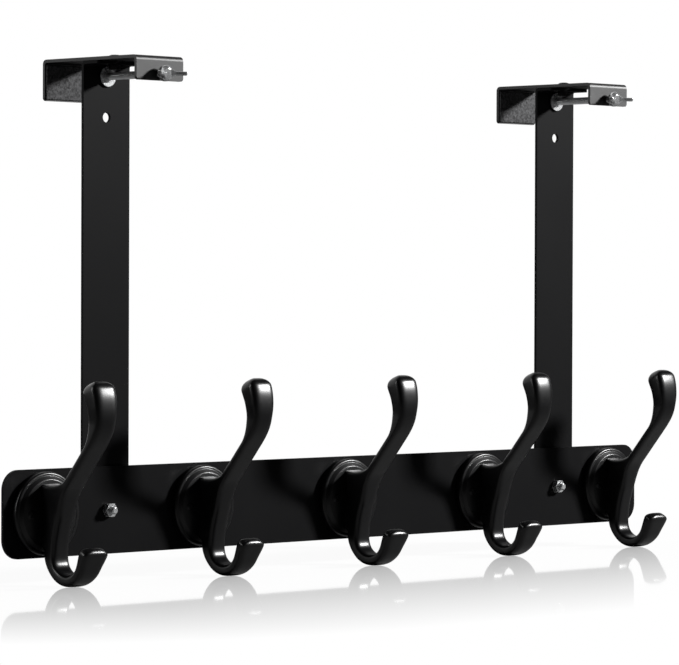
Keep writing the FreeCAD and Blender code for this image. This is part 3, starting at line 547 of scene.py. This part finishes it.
class CentreLine:
    """places on a hook's centre line: height and reach from the rosette's centre, and heading"""

    def __init__(self, sizes):
        self.sizes = sizes
        self.stretches = hook_stretches(sizes)
        self.ends = list(np.cumsum([s[1] for s in self.stretches]))
        self.shift = (0.0, 0.0)
        nearest = self.at(self.ends[3])
        self.shift = (-sizes.belly_drop - nearest[0], sizes.belly_reach - nearest[1])

    def at(self, distance):
        up, out = self.shift
        heading = self.sizes.belly_turn - self.sizes.crest_turn
        left = distance
        for radius, whole, turn in self.stretches:
            part = min(left, whole)
            if radius is None:
                up -= part * math.cos(heading)
                out -= part * math.sin(heading)
            else:
                swing = math.copysign(part / radius, turn)
                chord = 2 * radius * math.sin(abs(swing) / 2)
                up -= chord * math.cos(heading + swing / 2)
                out -= chord * math.sin(heading + swing / 2)
                heading += swing
            left -= part
            if left <= 0:
                break
        return up, out, heading


def smooth_through(keys, values):
    """a curve through the values that doesn't overshoot between them"""
    keys, values = np.array(keys), np.array(values)
    step = np.diff(keys)
    rise = np.diff(values) / step
    slope = np.zeros_like(values)
    for k in range(1, len(values) - 1):
        if rise[k - 1] * rise[k] > 0:
            slope[k] = 2 * rise[k - 1] * rise[k] / (rise[k - 1] + rise[k])

    def value(x):
        x = min(max(x, keys[0]), keys[-1])
        k = min(int(np.searchsorted(keys, x, side="right")) - 1, len(step) - 1)
        t = (x - keys[k]) / step[k]
        return ((1 + 2 * t) * (1 - t) ** 2 * values[k] + t * (1 - t) ** 2 * step[k] * slope[k]
                + t * t * (3 - 2 * t) * values[k + 1] + t * t * (t - 1) * step[k] * slope[k + 1])
    return value


def hook_sections(sizes, line):
    """width and depth along the centre line, as two curves"""
    ends = line.ends
    tip, curl = sizes.tip_depth / 2, sizes.curl_tip_depth / 2
    crest = 0.5 * (ends[0] + ends[1])
    keys = [
        (tip, sizes.tip_width, sizes.tip_depth),
        (0.6 * ends[0] + 0.4 * crest, sizes.shoulder_width, sizes.shoulder_depth),
        (crest, sizes.arm_width, sizes.crest_depth),
        (ends[1], sizes.arm_width, sizes.arm_depth),
        (ends[2], sizes.arm_width, sizes.arm_depth),
        (0.5 * (ends[2] + ends[3]), sizes.belly_width, sizes.belly_depth),
        (ends[3], sizes.belly_width, sizes.curl_root_depth),
        (ends[3] + 0.3 * (ends[4] - ends[3]), sizes.belly_width, sizes.curl_depth),
        (ends[3] + 0.6 * (ends[4] - ends[3]), sizes.belly_width, sizes.curl_depth),
        (ends[4], sizes.lip_width, sizes.lip_depth),
        (ends[5] - curl, sizes.curl_tip_width, sizes.curl_tip_depth),
    ]
    places, widths, depths = zip(*keys)
    return smooth_through(places, widths), smooth_through(places, depths)


TIP_RINGS = 14        # rings over each rounded end
TIP_START = 0.04      # where the first of them lies, as a share of a quarter turn
ARM_RINGS = 150       # rings between them
RING_FRONT = 36       # points round the front half of a section
RING_BACK = 44        # points round its back half
SQUARENESS = 4.2      # 2 is an ellipse, and more is nearer a rounded rectangle
WEB_FLARE = 3.0 * MM  # width over which the arm's back rounds into the neck
STEP_HALF = 1.2 * MM  # half the width of the step up to the rosette's raised middle
STEP_FOOT = 0.6 * MM  # rounding at that step's foot
AXIS = 0.05 * MM      # radius at which a turned profile starts, beside its axis


def neck_reach(sizes, line, up, out, heading):
    """how far the neck runs back from the centre line at one station, inside its outline"""
    steepest = 0.2  # least cosine of the heading that the way back to the rosette is taken with
    back = Vector((math.sin(heading), -math.cos(heading)))
    spot = Vector((up, out))
    inside = sizes.neck_root
    reach = (out - inside) / max(math.cos(heading), steepest)
    top = line.at(line.ends[2] - sizes.neck_climb)
    foot, climb = Vector((sizes.neck_height / 2, inside)), Vector(top[:2])
    chord = climb - foot
    rise = math.sqrt(sizes.neck_sweep ** 2 - (chord.length / 2) ** 2)
    centre = (foot + climb) / 2 + Vector((chord.y, -chord.x)).normalized() * rise
    offset = spot - centre
    clear = offset.length_squared - sizes.neck_sweep ** 2
    if clear <= 0:
        return 0.0
    along = offset.dot(back)
    if along < 0 and along ** 2 > clear:
        reach = min(reach, -along - math.sqrt(along ** 2 - clear))
    lowest = line.at(line.ends[3])
    fall = (sizes.belly_reach - inside) / (sizes.belly_drop - sizes.neck_height / 2)
    reach = min(reach, max(0.0, up - lowest[0]) * fall)
    return max(reach, 0.0)


def hook_arm_mesh(sizes):
    """both arms and the neck as one skin of rounded sections along the centre line"""
    line = CentreLine(sizes)
    width_at, depth_at = hook_sections(sizes, line)
    total = line.ends[5]
    tip, curl = sizes.tip_depth / 2, sizes.curl_tip_depth / 2
    quarter = np.linspace(TIP_START, 1, TIP_RINGS) * math.pi / 2
    stations = [(tip * (1 - math.cos(t)), math.sin(t)) for t in quarter]
    stations += [(s, 1.0) for s in np.linspace(tip, total - curl, ARM_RINGS)[1:-1]]
    stations += [(total - curl * (1 - math.cos(t)), math.sin(t)) for t in quarter[::-1]]
    front = np.linspace(0, math.pi, RING_FRONT, endpoint=False)
    back = np.linspace(math.pi, 2 * math.pi, RING_BACK, endpoint=False)
    power = 2 / SQUARENESS
    rings = []
    for distance, share in stations:
        up, out, heading = line.at(distance)
        half_width = share * width_at(distance) / 2
        half_depth = share * depth_at(distance) / 2
        on_neck = line.ends[2] - sizes.neck_climb < distance < line.ends[3]
        reach = neck_reach(sizes, line, up, out, heading) if on_neck else 0.0
        pull = max(0.0, reach - half_depth)
        web = sizes.neck_width / 2
        ring = []
        for t in np.concatenate([front, back]):
            c, s = math.cos(t), math.sin(t)
            a = half_width * math.copysign(abs(c) ** power, c)
            b = half_depth * math.copysign(abs(s) ** power, s)
            if s < 0 and pull > 0:
                k = min(max((web - abs(a)) / WEB_FLARE + 0.5, 0.0), 1.0)
                b -= pull * k * k * (3 - 2 * k)
            ring.append((a, up - b * math.sin(heading), out + b * math.cos(heading)))
        rings.append(ring)
    return ring_mesh("hook_arm", rings)


def rosette_mesh(sizes):
    """round base: a rim, a step up to a raised middle, and a low crown"""
    rim, boss = sizes.rosette_radius, sizes.boss_radius
    profile = rounded([
        (2 * AXIS, 0.0), (rim, 0.0), (rim, sizes.rosette_rim),
        (boss + STEP_HALF, sizes.rosette_rim), (boss - STEP_HALF, sizes.boss_height),
        (2 * AXIS, sizes.crown_height),
    ], [0.0, sizes.rim_round, STEP_FOOT, sizes.boss_round])
    return turned_mesh("rosette", profile, segments=112)


# Wing screws

PAD_GAP = 0.08 * MM     # between a pad and the shoulder of its wing screw
THREAD_LEFT = 0.9 * MM  # thread that shows in front of the flange
CHAMFER = 0.2 * MM      # at the end in the pad
INTO_THREAD = 0.1 * MM  # how far the plain collar reaches into the thread
INTO_HUB = 0.3 * MM     # how far it reaches into the hub
HUB_TAPER = 0.3         # share of the hub's length over which its back widens
HUB_ROUNDS = [0.5 * MM, 1.2 * MM, 1.2 * MM, 0.8 * MM]  # from its back to its front face
SCREW_CREASE = math.radians(40)
WING_RINGS = 8          # rings over a wing's root, and over its even part
WING_POINTS = 32        # points round a ring
WING_STOP = 1.0 * MM    # the even part's rings stop this far from the end
WING_END = [(0.8 * MM, 1.0), (0.3 * MM, 0.93), (0.0, 0.72)]  # way left, and share of the section
WING_POWER = 0.5        # 1 is an ellipse, and less is nearer a rectangle


def thread_mesh(name, radius, start, end, pitch, depth):
    """a threaded shank about +Z: its radius follows a helix"""
    segments, rows_per_turn = 28, 7
    rows = max(2, int((end - start) / pitch * rows_per_turn))
    rings = []
    for z in np.linspace(start, end, rows):
        fade = min(1.0, (z - start) / pitch, (end - z) / pitch)
        ring = []
        for t in np.linspace(0, 2 * math.pi, segments, endpoint=False):
            wave = 0.5 - 0.5 * math.cos(2 * math.pi * (z / pitch - t / (2 * math.pi)))
            r = radius - depth * max(0.0, fade) * wave
            ring.append((r * math.cos(t), r * math.sin(t), z))
        rings.append(ring)
    return ring_mesh(name, rings)


def wing_screw_mesh(name, sizes, x):
    """shank, hub and two wings, set on its axis in front of a strap"""
    low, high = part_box("wing_screw_left")
    pad_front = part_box("pressure_pad_left")[0].y
    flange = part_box("channel_left")[0].y
    end = STRAP_FRONT - high.y
    shoulder = STRAP_FRONT - pad_front + PAD_GAP
    hub = STRAP_FRONT - low.y - sizes.hub_depth
    front = hub + sizes.hub_length
    thread_end = STRAP_FRONT - flange + THREAD_LEFT
    neck = turned_mesh("neck", [(AXIS, end), (sizes.neck_radius - CHAMFER, end),
                                (sizes.neck_radius, end + CHAMFER),
                                (sizes.neck_radius, shoulder + CHAMFER)], segments=32)
    shank = thread_mesh("shank", sizes.shank_radius, shoulder, thread_end, sizes.thread_pitch,
                        sizes.thread_depth)
    collar = turned_mesh("collar", [(sizes.shank_radius, thread_end - INTO_THREAD),
                                    (sizes.shank_radius, hub + INTO_HUB)], segments=48)
    hub_profile = rounded([
        (AXIS, hub), (sizes.hub_face, hub), (sizes.hub_radius, hub + HUB_TAPER * sizes.hub_length),
        (sizes.hub_radius, hub + sizes.hub_shoulder), (sizes.hub_face, front), (AXIS, front),
    ], HUB_ROUNDS)
    body = turned_mesh("hub", hub_profile, segments=64)
    wings = [wing_mesh(sizes, hub, side) for side in (1, -1)]
    mesh = merge_meshes(name, [neck, shank, collar, body, *wings])
    mesh.transform(Matrix.Translation((x, STRAP_FRONT, CLAMP_HEIGHT)) @ FACE_FRONT)
    return finish_mesh(mesh, SCREW_CREASE)


def wing_mesh(sizes, hub, side):
    """one wing: an even bar that leans forward, and deepens to the hub's height at its root"""
    middle_height = hub + sizes.hub_length / 2
    reach = Vector((side * sizes.wing_span, 0, hub + sizes.wing_rise - middle_height))
    way = reach.normalized()
    across = Vector((-side * way.z, 0, abs(way.x)))
    half = sizes.wing_thickness / 2
    end = reach.length
    places = [*np.linspace(sizes.wing_root, sizes.wing_fairing, WING_RINGS),
              *np.linspace(sizes.wing_fairing, end, WING_RINGS)[1:]]
    stations = [(at, 1.0) for at in places if at < end - WING_STOP]
    stations += [(end - left, trim) for left, trim in WING_END]
    rings = []
    for at, trim in stations:
        near = max(0.0, (sizes.wing_fairing - at) / (sizes.wing_fairing - sizes.wing_root))
        tall = trim * (half + near * (sizes.wing_foot - half))
        wide = trim * (sizes.wing_width / 2 + near * sizes.wing_flare)
        ring = []
        for turn in np.linspace(0, 2 * math.pi, WING_POINTS, endpoint=False):
            c, d = math.cos(turn), math.sin(turn)
            u, v = math.copysign(abs(c) ** WING_POWER, c), math.copysign(abs(d) ** WING_POWER, d)
            ring.append(Vector((0, 0, middle_height)) + way * at + across * (wide * u)
                        + Vector((0, tall * v, 0)))
        rings.append(ring)
    return ring_mesh("wing", rings)


# Small fasteners

def cross_recess(mesh, top, reach, depth, width):
    """cuts a cross into a screw's head, about +Z"""
    head = new_piece("head_blank", mesh, blackened_screw())
    cutters = []
    for turn in (0, 90):
        cube = bmesh.new()
        bmesh.ops.create_cube(cube, size=1.0)
        bmesh.ops.scale(cube, vec=(2 * reach, width, 2 * depth), verts=cube.verts)
        slant = Matrix.Rotation(math.radians(turn + 45), 3, "Z")
        bmesh.ops.rotate(cube, matrix=slant, verts=cube.verts)
        bmesh.ops.translate(cube, vec=(0, 0, top), verts=cube.verts)
        cut = bpy.data.meshes.new("recess")
        cube.to_mesh(cut)
        cube.free()
        cutter = bpy.data.objects.new("recess", cut)
        bpy.context.scene.collection.objects.link(cutter)
        modifier = head.modifiers.new("recess", "BOOLEAN")
        modifier.operation = "DIFFERENCE"
        modifier.solver = "EXACT"
        modifier.object = cutter
        cutters.append(cutter)
    result = baked(head)
    for item in [head, *cutters]:
        bpy.data.objects.remove(item)
    return result


def hook_screw_mesh(radius, head_top, tail):
    """a low-headed screw about +Z with a cross in its head, in shares of the head's radius"""
    shank, flat, rim = 0.55 * radius, 0.55 * radius, 0.16 * radius
    point, taper = 0.7 * shank, 0.3 * shank
    seat = head_top - 0.42 * radius
    profile = rounded([
        (AXIS, tail), (point, tail), (shank, tail + taper), (shank, seat), (radius, seat),
        (radius, seat + rim), (flat, head_top), (AXIS, head_top),
    ], [0.0, 0.0, 0.0, 0.2 * MM, 0.4 * MM, 1.5 * MM], steps=4)
    blank = turned_mesh("hook_screw", profile, segments=40)
    return cross_recess(blank, head_top, reach=0.62 * radius, depth=0.35 * radius,
                        width=0.24 * radius)


# Operators

def dress(piece, body, slot, *nodes):
    """the piece rides on a body and stands for its nodes"""
    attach(piece, body)
    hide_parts(*nodes)


class RACK_OT_rail(bpy.types.Operator):
    """Flat rail with round corners and its bolt and screw holes"""
    bl_idname = "rack.rail"
    bl_label = "Rail"

    def execute(self, context):
        piece = softened("rail", "rail_plate", context.scene.rack_clamp.edge_round, powder_coat())
        dress(piece, "root", "powder_coat", "rail")
        return {"FINISHED"}


class RACK_OT_straps(bpy.types.Operator):
    """Straps with their bent tabs"""
    bl_idname = "rack.straps"
    bl_label = "Straps"

    def execute(self, context):
        edge = context.scene.rack_clamp.edge_round
        for side in SIDES:
            piece = softened(f"strap_{side}", f"strap_strip_{side}", edge, powder_coat())
            dress(piece, "root", "powder_coat", f"strap_{side}")
        return {"FINISHED"}


class RACK_OT_channels(bpy.types.Operator):
    """Channels that reach over the door, with their foam pads"""
    bl_idname = "rack.channels"
    bl_label = "Channels"

    def execute(self, context):
        sizes = context.scene.rack_clamp
        for side in SIDES:
            body = f"clamp_channel_{side}"
            piece = softened(f"channel_{side}", f"channel_strip_{side}", sizes.edge_round,
                             channel_coat())
            dress(piece, body, "powder_coat", f"channel_{side}")
            foam = softened(f"foam_pad_{side}", f"foam_sheet_{side}", sizes.foam_round, cell_foam())
            dress(foam, body, "foam", f"foam_pad_{side}")
        return {"FINISHED"}


class RACK_OT_hooks(bpy.types.Operator):
    """Cast double hooks with their rosettes"""
    bl_idname = "rack.hooks"
    bl_label = "Hooks"

    def execute(self, context):
        sizes = context.scene.rack_hook
        cast = merge_meshes("hook_cast", [hook_arm_mesh(sizes), rosette_mesh(sizes)])
        for k, (node, x) in enumerate(zip(HOOKS, HOOK_PLACES), start=1):
            mesh = cast.copy()
            mesh.transform(Matrix.Translation((x, RAIL_FRONT, RAIL_MIDDLE)) @ FACE_FRONT)
            piece = new_piece(f"hook_cast_{k}", finish_mesh(mesh), gloss_enamel())
            dress(piece, "root", "gloss_enamel", node)
        bpy.data.meshes.remove(cast)
        return {"FINISHED"}


class RACK_OT_hook_screws(bpy.types.Operator):
    """Two low-headed screws in each hook"""
    bl_idname = "rack.hook_screws"
    bl_label = "Hook screws"

    def execute(self, context):
        sizes = context.scene.rack_hook
        low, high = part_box(f"{HOOKS[0]}_screws")
        screw = hook_screw_mesh(sizes.screw_head, RAIL_FRONT - low.y, RAIL_FRONT - high.y)
        screw.transform(FACE_FRONT)
        start = (HOOK_PLACES[0] - sizes.screw_reach, RAIL_FRONT, RAIL_MIDDLE)
        piece = set_in_row("hook_screw_set", screw, blackened_screw(), start,
                           (len(HOOKS), HOOK_SPACING), (2, 2 * sizes.screw_reach))
        dress(piece, "root", "black_screw", *[f"{node}_screws" for node in HOOKS])
        return {"FINISHED"}


class RACK_OT_wing_screws(bpy.types.Operator):
    """Wing screws that clamp the door"""
    bl_idname = "rack.wing_screws"
    bl_label = "Wing screws"

    def execute(self, context):
        sizes = context.scene.rack_clamp
        for side, x in zip(SIDES, STRAP_PLACES):
            mesh = wing_screw_mesh(f"wing_screw_cast_{side}", sizes, x)
            piece = new_piece(f"wing_screw_cast_{side}", mesh, bright_chrome())
            dress(piece, f"clamp_screw_{side}", "chrome_plate", f"wing_screw_{side}")
        return {"FINISHED"}


class RACK_OT_fasteners(bpy.types.Operator):
    """Pressure pads, rail bolts and nuts, and the tabs' screws and nuts"""
    bl_idname = "rack.fasteners"
    bl_label = "Small fasteners"

    def execute(self, context):
        zinc, black = bright_zinc(), blackened_screw()
        for kind, edge, slot, finish in (
                ("pressure_pad", 0.25, "zinc_plate", zinc), ("rail_bolt", 0.12, "zinc_plate", zinc),
                ("rail_nut", 0.12, "zinc_plate", zinc), ("tab_screw", 0.2, "black_screw", black),
                ("tab_nut", 0.12, "black_screw", black)):
            for side in SIDES:
                piece = softened(f"{kind}_{side}", f"{kind}_turned_{side}", edge * MM, finish)
                dress(piece, "root", slot, f"{kind}_{side}")
        return {"FINISHED"}


def add_lamp(name, place, target, size, watts, mirrored):
    """a soft box that faces a target, seen in shiny surfaces or not"""
    lamp = bpy.data.lights.new(name, "AREA")
    lamp.shape = "RECTANGLE"
    lamp.size, lamp.size_y = size
    lamp.energy = watts
    holder = bpy.data.objects.new(name, lamp)
    look = (Vector(target) - Vector(place)).normalized()
    turn = look.to_track_quat("-Z", "Y").to_matrix().to_4x4()
    holder.matrix_world = Matrix.Translation(place) @ turn
    holder.visible_glossy = mirrored
    bpy.context.scene.collection.objects.link(holder)


DARK_TO, WHITE_FROM = 0.2, 0.65  # how far back a way points where a mirrored room is dark, white


def studio_light(tree, fill, dark_side):
    """strength of the surroundings: white for camera and transmission rays; for glossy rays white
    behind the object and dark in front of it; and a weak even fill for the rest"""
    path = add_node(tree, "ShaderNodeLightPath").outputs
    way = add_node(tree, "ShaderNodeSeparateXYZ", {
        "Vector": add_node(tree, "ShaderNodeTexCoord").outputs["Generated"]}).outputs["Y"]
    mirrored = add_node(tree, "ShaderNodeMapRange", {
        "Value": way, "From Min": DARK_TO, "From Max": WHITE_FROM, "To Min": dark_side,
        "To Max": 1.0}, interpolation_type="SMOOTHSTEP").outputs["Result"]
    level = add_node(tree, "ShaderNodeMix", {"Factor": path["Is Glossy Ray"], "A": fill,
                                             "B": mirrored}).outputs["Result"]
    seen = maths(tree, "MAXIMUM", path["Is Camera Ray"], path["Is Transmission Ray"])
    return add_node(tree, "ShaderNodeMix", {"Factor": seen, "A": level, "B": 1.0}).outputs["Result"]


UNDER_RACK = 0.3        # metres to each side of the middle that count as under the rack
NEAR, FAR = 0.02, 0.36  # metres from there over which the floor's shadow and reflection fade
SHADOW_SHARE = 0.12     # of the lit board in what the camera sees
MIRROR_SHARE = 0.55     # of the mirror in what the camera sees
BOARD_SHARE = 0.3       # of the light board in what other rays see


def pale_floor():
    """Satin white board: the camera sees it plain white, with the object's shadow and a faint
    reflection near the rack. All other rays see it dimmer, and a little lighter near the rack."""
    def blend(share, first, second):
        mix = add_node(tree, "ShaderNodeMixShader", {"Fac": share, 1: first, 2: second})
        return mix.outputs["Shader"]

    def matt(hex_colour):
        shader = add_node(tree, "ShaderNodeBsdfDiffuse", {"Color": linear(hex_colour)})
        return shader.outputs["BSDF"]

    material, tree, output = new_material("white_board")
    place = add_node(tree, "ShaderNodeSeparateXYZ", {
        "Vector": add_node(tree, "ShaderNodeTexCoord").outputs["Object"]}).outputs
    beside = maths(tree, "SUBTRACT", maths(tree, "ABSOLUTE", place["X"]), UNDER_RACK)
    away = add_node(tree, "ShaderNodeCombineXYZ", {"X": maths(tree, "MAXIMUM", beside),
                                                   "Y": place["Y"]})
    far = add_node(tree, "ShaderNodeVectorMath", {0: away.outputs["Vector"]}, operation="LENGTH")
    near = spread(tree, far.outputs["Value"], 1.0, 0.0, NEAR, FAR)
    white = add_node(tree, "ShaderNodeEmission", {"Color": (1, 1, 1, 1), "Strength": 1.0})
    mirror = add_node(tree, "ShaderNodeBsdfGlossy", {"Color": (1, 1, 1, 1), "Roughness": 0.04})
    board, dim = matt("#F2F2F2"), matt("#5C5C5C")
    shaded = blend(maths(tree, "MULTIPLY", near, SHADOW_SHARE), white.outputs["Emission"], board)
    seen = blend(maths(tree, "MULTIPLY", near, MIRROR_SHARE), shaded, mirror.outputs["BSDF"])
    lit = blend(maths(tree, "MULTIPLY", near, BOARD_SHARE), dim, board)
    camera_ray = add_node(tree, "ShaderNodeLightPath").outputs["Is Camera Ray"]
    tree.links.new(blend(camera_ray, lit, seen), output.inputs["Surface"])
    return material


class RACK_OT_stage(bpy.types.Operator):
    """Pale floor, white surroundings, soft lights and the camera"""
    bl_idname = "rack.stage"
    bl_label = "Stage"

    def execute(self, context):
        scene, stage = context.scene, context.scene.rack_stage
        far, gap = 6.0, 0.1 * MM  # from the middle to the floor's edges, and under the rack
        corners = [(x, y, FLOOR_HEIGHT - gap) for x, y in ((-far, -far), (far, -far), (far, far),
                                                           (-far, far))]
        mesh = bpy.data.meshes.new("floor")
        mesh.from_pydata(corners, [], [(0, 1, 2, 3)])
        new_piece("floor", mesh, pale_floor())

        world = bpy.data.worlds.new("white_surroundings")
        world.use_nodes = True
        world.node_tree.nodes.clear()
        sky = add_node(world.node_tree, "ShaderNodeBackground", {
            "Color": (1, 1, 1, 1),
            "Strength": studio_light(world.node_tree, fill=0.018, dark_side=0.02)})
        add_node(world.node_tree, "ShaderNodeOutputWorld", {"Surface": sky.outputs["Background"]})
        scene.world = world

        target = (0.0, 0.0, -0.12)
        for name, place, size, watts, mirrored in (
                ("key_softbox", (2.15, -1.82, 1.05), (0.36, 0.36), stage.key_power, True),
                ("top_softbox", (0.35, 0.1, 1.5), (1.3, 0.5), stage.top_power, False),
                ("rim_softbox", (-1.5, 0.5, 0.5), (0.35, 1.0), stage.rim_power, True)):
            add_lamp(name, place, target, size, watts, mirrored)

        lens = bpy.data.cameras.new("camera")
        lens.lens = stage.camera_lens
        lens.sensor_width = 36.0
        lens.clip_end = 50.0
        camera = bpy.data.objects.new("camera", lens)
        yaw, pitch, roll = stage.camera_yaw, stage.camera_pitch, stage.camera_roll
        level = math.cos(pitch)
        forward = Vector((math.sin(yaw) * level, math.cos(yaw) * level, -math.sin(pitch)))
        right = Vector((math.cos(yaw), -math.sin(yaw), 0.0))
        up = right.cross(forward)
        side = right * math.cos(roll) + up * math.sin(roll)
        above = up * math.cos(roll) - right * math.sin(roll)
        turn = Matrix((side, above, -forward)).transposed().to_4x4()
        camera.matrix_world = Matrix.Translation(stage.camera_place) @ turn
        scene.collection.objects.link(camera)
        scene.camera = camera
        scene.view_settings.view_transform = "Standard"
        return {"FINISHED"}


class RACK_PT_panel(bpy.types.Panel):
    """Builds each piece of the rack"""
    bl_idname = "RACK_PT_panel"
    bl_label = "Hook rack"
    bl_space_type = "VIEW_3D"
    bl_region_type = "UI"
    bl_category = "Hook rack"

    def draw(self, context):
        for operator in OPERATORS:
            self.layout.operator(operator.bl_idname)
        for group in GROUPS:
            box = self.layout.box()
            box.label(text=group.replace("_", " ").capitalize())
            values = getattr(context.scene, group)
            for name in values.bl_rna.properties.keys():
                if name not in ("rna_type", "name"):
                    box.prop(values, name)


OPERATORS = [RACK_OT_rail, RACK_OT_straps, RACK_OT_channels, RACK_OT_hooks, RACK_OT_hook_screws,
             RACK_OT_wing_screws, RACK_OT_fasteners, RACK_OT_stage]
GROUPS = {"rack_hook": HookSizes, "rack_clamp": ClampSizes, "rack_finishes": Finishes,
          "rack_stage": StageSizes}


def register():
    for cls in [*GROUPS.values(), *OPERATORS, RACK_PT_panel]:
        bpy.utils.register_class(cls)
    for name, group in GROUPS.items():
        setattr(bpy.types.Scene, name, bpy.props.PointerProperty(type=group))


def unregister():
    for name in GROUPS:
        delattr(bpy.types.Scene, name)
    for cls in reversed([*GROUPS.values(), *OPERATORS, RACK_PT_panel]):
        bpy.utils.unregister_class(cls)


def main():
    register()
    for operator in OPERATORS:
        group, name = operator.bl_idname.split(".")
        getattr(getattr(bpy.ops, group), name)()


if __name__ == "__main__":
    main()
